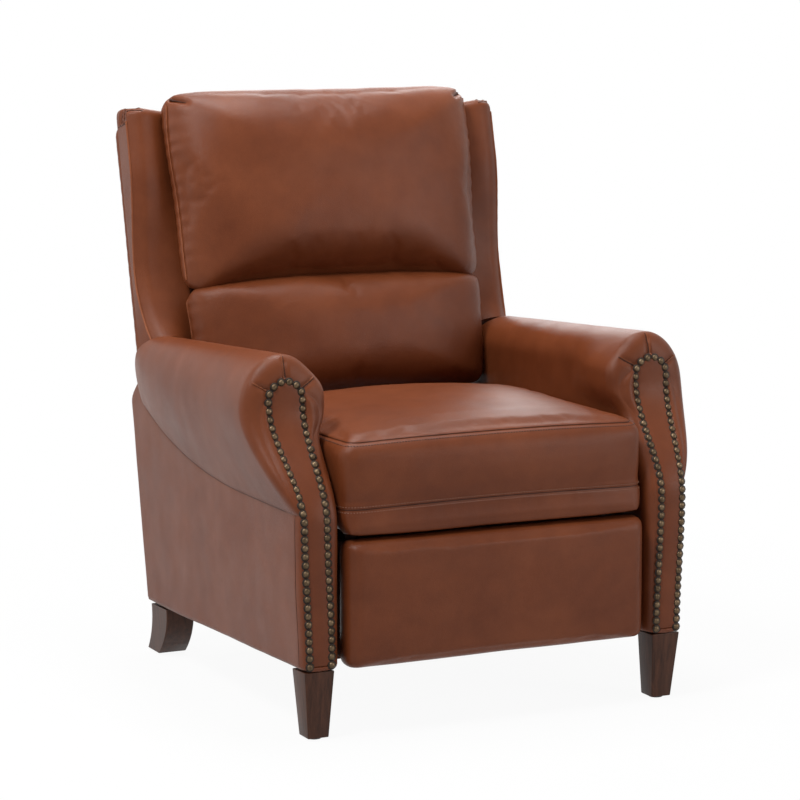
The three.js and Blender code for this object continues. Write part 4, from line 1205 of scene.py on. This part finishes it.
wing_cover = make_wing()
wing_skin = surface_of(wing_cover)
corner_folds = [corner_fold(wing_skin, *fold) for fold in fold_lines]
wing_skin, corner_folds = sew_lines(wing_cover, corner_folds, fold_sewing)
pair_up(wing_cover, "back", ["wing"])


def wing_seams():
    """Piping in lighter leather, a painted highlight, down the outer front edge, and dark cords of painted
    shade in the side seam and the gathered folds at the top corner.
    """
    path = []
    foot = wing_foot(60.0)
    for along in spread(110, *wing_piping_span):
        share = clamp((along - foot) / (wing_top - foot), 0.0, 1.0)
        depth, x = wing_depth(share), back_half - wing_tuck(share)
        start = on_back(x + 30.0, depth + 20.0, along)
        hit = land(wing_skin, start, on_back(x - 8.0, depth - 18.0, along) - start)
        if hit:
            sway = 0.4 * noise.noise(Vector((along / 14.0, 2.0, 0.0)))
            path += raised([hit], 0.4 + sway)
    # The piping is lighter leather: a painted highlight along the raised edge
    parts = [tube("wing_piping", path, 1.8, painted_highlight_leather, 8)]
    beside, along = back_half + 40.0, wing_top - 30.0
    rays = [(on_back(beside, depth, along), leftward) for depth in spread(16, *wing_side_seam_span)]
    parts.append(crease(lands(wing_skin, rays), -0.2, 1.1))
    parts += [crease(fold, -0.2, 1.3) for fold in corner_folds]
    return join_pieces("wing_seams_right", parts)


pair_up(wing_seams(), "back")


def to_chair(places):
    """Packed places as millimetres from the front plane, as rows of x, y, z."""
    return places / MM - np.array([0.0, front_plane / MM, 0.0])


def from_chair(local):
    return (local + np.array([0.0, front_plane / MM, 0.0])) * MM


def to_back(places):
    """Packed places as rows of x, depth and along in the leaned frame of the back."""
    x, y, z = (to_chair(places) - np.array([0.0, back_ref_y, back_ref_z])).T
    return np.stack([x, z * lean_sine - y * lean_cosine, y * lean_sine + z * lean_cosine], axis=1)


def from_back(local):
    x, depth, along = local.T
    return from_chair(np.stack([x, *leaned(depth, along)], axis=1))


def make_outside():
    """The upholstered outside of the back: slightly full between its welted edges."""
    panel = copy_of("back_outside_panel", "outside_back", leather)
    even_skin(panel, 6.0, 4)
    local = to_back(coordinates(panel.data))
    high = np.clip(local[:, 2], 0.0, outside_top)
    full = (1.0 - (local[:, 0] / back_half) ** 2) * np.sin(math.pi * high / outside_top)
    local[:, 1] -= np.where(local[:, 1] < outside_thickness / 2.0, outside_swell * full, 0.0)
    move_points(panel.data, from_back(local))
    ripple(panel, 1.5, 7.0, 31.0)
    return panel


outside = make_outside()
outside_skin = surface_of(outside)
finish_piece(outside, "back", ["back_outside_panel"])


def outside_welt():
    """Piping round the outside, from its foot on one side over the top to the other."""
    corner, edge, top, foot, narrow = 30.0, back_half - 7.0, outside_top - 7.0, -298.0, back_narrow_half - 6.0
    outline = [(narrow, foot), (narrow, 8.0), (edge, 18.0), (edge, top - corner)]
    outline += [(edge - corner * 0.3, top - corner * 0.3), (edge - corner, top)]
    outline += [(-x, v) for x, v in outline[::-1]]
    rays = []
    for (x0, v0), (x1, v1) in zip(outline, outline[1:]):
        steps = max(2, int(math.hypot(x1 - x0, v1 - v0) / 8.0))
        for t in spread(steps)[:-1]:
            rays.append((on_back(lerp(x0, x1, t), -40.0, lerp(v0, v1, t)), back_forward))
    # The welt is lighter leather: a painted highlight along the raised piping
    welt = tube("outside_welt", raised(lands(outside_skin, rays), 0.5), 2.3, painted_highlight_leather, 8)
    finish_piece(welt, "back")


outside_welt()


def make_top_cover():
    """The leather over the top rail, between the wings and behind the head pillow."""
    half_x, (rear, front), (low, high) = 279.0, (20.0, 68.0), (402.0, 458.0)
    corners = ((rear, low), (front, low), (front, high), (rear, high))
    rings = [[on_back(x, *corner) for corner in corners] for x in spread(3, -half_x, half_x)]
    cover = loft("back_top_cover", rings, leather, ladder_ends=False)
    even_skin(cover, 4.0, 6)
    ripple(cover, 1.2, 20.0, 5.0)
    return cover


top_cover = make_top_cover()
finish_piece(top_cover, "back", ["back_top_rail"])


# Cushions

back_frames = (to_back, from_back)
chair_frames = (to_chair, from_chair)


def ruffled(loop, amount, seed):
    """A piping line that wanders a little, as on a slip-filled pillow."""
    path = []
    run = 0.0
    for i, (place, normal) in enumerate(loop):
        if i:
            run += (place - loop[i - 1][0]).length / MM
        sway = noise.noise(Vector((run / 17.0, seed, 0.0)))
        sway += 0.5 * noise.noise(Vector((run / 7.0, seed, 4.0)))
        path.append(place + (normal * 0.5 + back_forward) * (amount * sway) * MM)
    return path


def pillow_form(low, high, seam, top_fall, outline, roll, taper, sags):
    """Lays a pillow's front on one smooth swell between its side seams; it may narrow downwards."""
    half_v = (high[2] - low[2]) / 2.0
    middle = (high[2] + low[2]) / 2.0

    def form(local):
        v = (local[:, 2] - middle) / half_v
        upper = np.clip((v - 0.3) / 0.7, 0.0, 1.0)
        edge = seam - top_fall * eased(upper)
        rise = high[1] - edge
        w = (local[:, 1] - edge) / rise
        half_x = high[0] * (1.0 - taper * (1.0 - v) / 2.0)
        u = local[:, 0] / half_x
        flat = (np.abs(u) ** outline + np.abs(v) ** outline) ** (1.0 / outline)
        front = np.maximum(w, 0.0)
        swell = np.maximum((flat ** roll + front ** roll) ** (1.0 / roll), 1e-6)
        behind = np.maximum(np.abs(u), np.abs(v)) / np.maximum(flat, 1e-6)
        share = eased(np.clip(w / 0.3, 0.0, 1.0))
        scale = behind * (1.0 - share) + share / swell
        depth = np.where(w > 0.0, edge + w * scale * rise, local[:, 1])
        hang = sags[0] * np.clip(-v, 0.0, 1.0) ** 2 + sags[1] * np.clip(v, 0.0, 1.0) ** 2
        along = middle + v * scale * half_v - hang * np.clip(np.abs(u), 0.0, 1.0) ** 3
        return np.stack([u * scale * half_x, depth, along], axis=1)

    return form


def side_line(skin, side, depth, half, bottom, top, count=90):
    """A line up one side of a pillow at one depth, found on its skin."""
    starts = [on_back(side * (half + 60.0), depth, along) for along in spread(count, bottom, top)]
    return lands(skin, [(start, leftward * side) for start in starts])


def corner_tuck(skin, side, half, corner_v, inner_v, inward):
    """A line over a pillow's face from its corner towards its middle, where the leather is tucked."""
    rays = []
    for share in spread(14):
        x = side * lerp(half - 8.0, half - inward, share)
        rays.append((on_back(x, 300.0, lerp(corner_v, inner_v, share)), -back_forward))
    return lands(skin, rays)


# How freely a cushion swells along x, depth and height: (away from, towards) each axis
pillow_fullness = ((0.3, 0.3), (0.0, 1.0), (0.4, 0.4))
seat_fullness = ((0.08, 0.08), (0.22, 0.1), (0.0, 1.0))
pad_fullness = ((0.5, 0.5), (1.0, 0.0), (0.5, 0.5))
pillow_voxel, seat_voxel, pad_voxel = 5.6, 6.0, 5.6
pillow_pressure, seat_pressure, pad_pressure = 4.0, 4.0, 3.0
pillow_swell, seat_swell, pad_swell = 24.0, 8.0, 1.2
pillow_outline = 18.0
pillow_seam_sewing = dict(
    depth=2.8, width=5.0, pucker=1.8, pitch=26.0, reach=18.0, fade=20.0, start_fade=20.0)
tuck_sewing = dict(depth=8.0, width=6.0, fade=24.0)
seat_seam_sewing = dict(depth=2.2, width=3.4, pucker=0.5, pitch=34.0, reach=12.0)


def make_pillow(node, name, body_box, seam, form, seed, tucked):
    """A pillow on the back; body_box is half its width, its front, and where it starts and ends."""
    half_x, front, bottom, top = body_box
    seam_depth, top_fall = seam
    roll, taper, sags = form
    pillow = copy_of(node, name, leather)
    low, high = (-half_x, pillow_rear, bottom), (half_x, front, top)
    shape = pillow_form(low, high, seam_depth, top_fall, pillow_outline, roll, taper, sags)
    fill_with_air(
        pillow, pillow_voxel, pillow_pressure, pillow_swell, pillow_fullness, back_frames, low, high, shape)
    ripple(pillow, 3.2, 5.0, seed, (1.0, 1.0, 1.5))
    ripple(pillow, 0.8, 19.0, seed + 3.0, (1.3, 1.0, 0.8))
    skin = surface_of(pillow)
    height = top - bottom
    for side in (-1.0, 1.0):
        line = side_line(skin, side, seam_depth, half_x, bottom + 0.05 * height, top - 0.05 * height)
        sew(pillow, places_of(line), **pillow_seam_sewing)
    skin = surface_of(pillow)
    tucks = []
    for side in (-1.0, 1.0) if tucked else ():
        tucks.append(places_of(corner_tuck(skin, side, half_x, top - 13.0, top - 30.0, 44.0)))
        sew(pillow, tucks[-1], **tuck_sewing)
    finish_piece(pillow, "back", [node])
    skin = surface_of(pillow)
    # Dark cords of painted shade in the tuck pits, and welts in lighter leather with a painted highlight down
    # the sides
    welts = []
    for tuck in tucks:
        pit = lands(skin, [(p + back_forward * 60.0 * MM, -back_forward) for p in tuck[:9]])
        welts.append(crease(pit, -0.3, 3.0, 0.4))
    for side in (-1.0, 1.0):
        line = side_line(skin, side, seam_depth, half_x, bottom + 0.06 * height, top - 0.07 * height)
        line = [(place + normal * 0.9 * MM, normal) for place, normal in line]
        welts.append(tube("welt", ruffled(line, 1.8, seed + side), 1.6, painted_highlight_leather))
    finish_piece(join_pieces(f"{name}_welts", welts), "back")


make_pillow(
    "upper_back_pillow", "head_pillow", body_box=(311.0, 188.0, 127.0, 501.0), seam=(98.0, 20.0),
    form=(2.35, 0.065, (24.0, 0.0)), seed=40.0, tucked=True)
make_pillow(
    "lower_back_pillow", "lumbar_pillow", body_box=(300.0, 182.0, -80.0, 150.0), seam=(84.0, 6.0),
    form=(2.7, 0.06, (0.0, 20.0)), seed=60.0, tucked=False)


def front_line(skin, z, bow, wrap, lift=0.0):
    """A line across a cushion's front that turns down each side; it bows up in the middle."""
    corner_x, corner_y = 250.0, 32.0
    right = [(at(2.0 * corner_x, y, z), leftward) for y in spread(12, wrap, corner_y)]
    for degrees in spread(12, 8.0, 82.0):
        turn = math.radians(degrees)
        way = Vector((math.cos(turn), -math.sin(turn), 0.0))
        right.append((at(corner_x, corner_y, z) + way * 0.2, -way))
    left = [(Vector((-place.x, place.y, place.z)), Vector((-way.x, way.y, 0.0))) for place, way in right]
    across = []
    for x in spread(110, -corner_x, corner_x):
        rise = bow * (1.0 - (x / corner_x) ** 2)
        across.append((at(x, -200.0, z + rise), rearward))
    hits = lands(skin, left + across + right[::-1])
    return list(zip(raised(hits, lift), [normal for _, normal in hits]))


def square_front(local):
    """Squares the bottom edge of the seat's front, lowers its crown and narrows its lower band."""
    rear_of_corner, corner_depth, top_of_corner, corner_height = 48.0, 55.0, 400.0, 61.8
    squareness, crown_from, crown_press = 0.75, 500.0, 0.3
    band_top, band_height, band_narrowing = 388.0, 50.0, 0.04
    ahead = np.clip((rear_of_corner - local[:, 1]) / corner_depth, 0.0, 1.0)
    below = np.clip((top_of_corner - local[:, 2]) / corner_height, 0.0, 1.0)
    reach = np.maximum(np.maximum(ahead, below), 0.3)
    share = np.clip(below / 0.5, 0.0, 1.0) * np.clip(ahead / 0.2, 0.0, 1.0)
    grow = squareness * share * (1.0 / reach - 1.0)
    local[:, 1] -= ahead * corner_depth * grow
    local[:, 2] -= below * corner_height * grow
    local[:, 2] -= np.clip(local[:, 2] - crown_from, 0.0, None) * crown_press
    band = np.clip((band_top - local[:, 2]) / band_height, 0.0, 1.0)
    local[:, 0] *= 1.0 - band_narrowing * band ** 2
    return local


def make_seat():
    """A full, boxed cushion with a seam and stitches round its upper and its lower edge."""
    seat = copy_of("seat_cushion", "seat_cushion_cover", leather)
    low, high = (-287.0, -7.0, 338.2), (287.0, 574.0, 546.0)
    fill_with_air(seat, seat_voxel, seat_pressure, seat_swell, seat_fullness, chair_frames, low, high)
    move_points(seat.data, from_chair(square_front(to_chair(coordinates(seat.data)))))
    ripple(seat, 2.2, 5.0, 70.0)
    ripple(seat, 0.5, 19.0, 75.0)
    skin = surface_of(seat)
    for z in seat_seams:
        sew(seat, places_of(front_line(skin, z, seam_bow, 300.0)), **seat_seam_sewing)
    finish_piece(seat, "seat", ["seat_cushion"])
    skin = surface_of(seat)
    upper = [front_line(skin, seat_seams[0] - 4.5, seam_bow, 120.0, 0.2)]
    lower = [front_line(skin, seat_seams[1] + beside, seam_bow, 120.0, 0.3) for beside in (4.5, -4.5)]
    stitches("seat_upper_stitches", upper, "seat", stitch_spacing, dark_thread)
    stitches("seat_lower_stitches", lower, "seat", stitch_spacing, thread)
    # Dark cords of painted shade in the seams' grooves
    seams = [crease(front_line(skin, z, seam_bow, 200.0), -0.1, 0.9) for z in seat_seams]
    finish_piece(join_pieces("seat_seams", seams), "seat")


def make_footrest():
    """The thin pad on the footrest board."""
    pad = copy_of("footrest_pad", "footrest_cover", leather)
    low, high = (-284.0, -22.0, 118.0), (284.0, 43.9, 335.0)
    fill_with_air(pad, pad_voxel, pad_pressure, pad_swell, pad_fullness, chair_frames, low, high)
    ripple(pad, 1.3, 6.0, 80.0)
    ripple(pad, 0.4, 20.0, 85.0)
    finish_piece(pad, "footrest", ["footrest_pad"])


seat_seams = (498.0, 387.0)
seam_bow = 4.0
stitch_spacing = 5.2
make_seat()
make_footrest()


# Frame parts that show in the gaps are wrapped in dark leather: painted shade, as only shade shows there
gap_shade_wraps = dict(seat_front_rail="seat", footrest_board="footrest", base_front_rail="base")
gap_shade_wraps |= dict(seat_rear_rail="seat", back_bottom_rail="back")
gap_shade_wraps |= dict(seat_side_rail_left="seat", seat_side_rail_right="seat")
gap_shade_wraps |= dict(back_post_left="back", back_post_right="back")
for node, body in gap_shade_wraps.items():
    eased_copy(node, f"{node}_wrap", painted_shade_leather, wrap_ease, body)

# The leather panel between the arms at the rear
apron = copy_of("base_rear_panel", "rear_apron", leather)
even_skin(apron, 5.0, 4)
ripple(apron, 1.2, 9.0, 90.0)
finish_piece(apron, "base", ["base_rear_panel"])


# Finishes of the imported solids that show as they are

def wear(names, material):
    """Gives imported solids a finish."""
    for name in names:
        solid = nodes[name]
        solid.data.materials.clear()
        solid.data.materials.append(material)


pairs = ("base_hinge_plate", "back_hinge_plate", "front_swing_link", "seat_side_plate", "footrest_bracket")
pairs += tuple(f"footrest_{kind}_link" for kind in ("main", "rear", "long", "short"))
wear([f"arm_panel_{s}" for s in ("left", "right")], frame_wood)
wear([f"{n}_{s}" for n in pairs for s in ("left", "right")] + ["footrest_cross_tube"], mechanism_steel)
wear(["back_springs", "seat_springs"], spring_steel)
wear([f"{n}_glide_{s}" for n in ("front", "rear") for s in ("left", "right")], glide_plastic)


# Floor, light and camera

def math_node(tree, operation, first, second):
    return add_node(tree, "ShaderNodeMath", {0: first, 1: second}, "Value", operation=operation)


def seen_directly(tree):
    """1 for rays from the camera, mirrors and glass, 0 for the light that falls on the chair."""
    path = tree.nodes.new("ShaderNodeLightPath")
    value = path.outputs["Is Camera Ray"]
    for label in ("Is Glossy Ray", "Is Transmission Ray"):
        value = math_node(tree, "MAXIMUM", value, path.outputs[label])
    return value


def make_floor():
    """A matt floor that shows as white, a little less so near the chair, where its shadow lies."""
    reach, near, far, near_glow = 30.0, 0.7, 1.6, 0.94
    mesh = bpy.data.meshes.new("studio_floor")
    corners = [(-reach, -reach, 0.0), (reach, -reach, 0.0), (reach, reach, 0.0), (-reach, reach, 0.0)]
    mesh.from_pydata(corners, [], [(0, 1, 2, 3)])
    floor = placed("studio_floor", mesh)
    material = bpy.data.materials.new("pale floor")
    material.use_nodes = True
    tree = material.node_tree
    tree.nodes.clear()
    place = add_node(tree, "ShaderNodeTexCoord", {}, "Object")
    distance = add_node(tree, "ShaderNodeVectorMath", {0: place}, "Value", operation="LENGTH")
    outward = {"Value": distance, "From Min": near, "From Max": far, "To Min": near_glow, "To Max": 1.0}
    outward = add_node(tree, "ShaderNodeMapRange", outward, "Result")
    matt = add_node(tree, "ShaderNodeBsdfDiffuse", {"Color": (0.7, 0.7, 0.7, 1.0)}, "BSDF")
    glow = {"Color": (1.0, 1.0, 1.0, 1.0), "Strength": 1.0}
    glow = add_node(tree, "ShaderNodeEmission", glow, "Emission")
    part = math_node(tree, "MULTIPLY", seen_directly(tree), outward)
    shade = add_node(tree, "ShaderNodeMixShader", {"Fac": part, 1: matt, 2: glow}, "Shader")
    tree.links.new(shade, tree.nodes.new("ShaderNodeOutputMaterial").inputs["Surface"])
    mesh.materials.append(material)


def make_world():
    """White to the eye and in reflections, and a dim even light on the chair."""
    world = bpy.data.worlds.new("studio")
    scene.world = world
    world.use_nodes = True
    tree = world.node_tree
    back = tree.nodes["Background"]
    back.inputs["Color"].default_value = (1.0, 1.0, 1.0, 1.0)
    tree.links.new(grey_range(tree, seen_directly(tree), 0.2, 1.0), back.inputs["Strength"])


def area_light(name, place, target, size, power):
    """A soft box at a place in metres, turned towards its target."""
    light = bpy.data.lights.new(name, "AREA")
    light.shape = "RECTANGLE"
    light.size, light.size_y = size
    light.energy = power
    lamp = placed(name, light)
    lamp.location = place
    lamp.rotation_euler = (Vector(target) - Vector(place)).to_track_quat("-Z", "Y").to_euler()


make_floor()
make_world()
area_light("key light", place=(-2.3, -1.2, 3.9), target=(0.0, 0.0, 0.7), size=(1.1, 1.1), power=128.0)
area_light("fill light", place=(2.7, -3.1, 1.5), target=(0.1, 0.0, 0.5), size=(1.4, 1.8), power=47.0)
area_light("side light", place=(-3.2, 0.9, 1.9), target=(0.0, 0.0, 0.5), size=(1.2, 2.0), power=24.0)
area_light("top light", place=(0.1, 0.35, 3.3), target=(0.0, 0.35, 0.7), size=(2.0, 0.9), power=72.0)
area_light("rear light", place=(1.6, 3.0, 2.0), target=(0.0, 0.0, 0.6), size=(1.6, 1.6), power=22.0)


def make_camera():
    """Placed so that the chair's measured corners fall on the photograph's."""
    turn, rise = math.radians(25.5), math.radians(8.6)
    distance, shift_right, shift_up = 5.3, -0.0596, 0.0217
    focal_pixels, frame_pixels, sensor = 3000.0, 800.0, 36.0
    away = Vector((-math.sin(turn) * math.cos(rise), -math.cos(turn) * math.cos(rise), math.sin(rise)))
    right = Vector((math.cos(turn), -math.sin(turn), 0.0))
    up = away.cross(right)
    place = at(0.0, 250.0, 500.0) + away * distance + right * shift_right + up * shift_up
    data = bpy.data.cameras.new("photo camera")
    data.sensor_width = sensor
    data.lens = sensor * focal_pixels / frame_pixels
    camera = placed("photo camera", data)
    camera.matrix_world = Matrix((
        (right.x, up.x, away.x, place.x),
        (right.y, up.y, away.y, place.y),
        (right.z, up.z, away.z, place.z),
        (0.0, 0.0, 0.0, 1.0),
    ))
    scene.camera = camera


make_camera()
scene.view_settings.view_transform = "Standard"
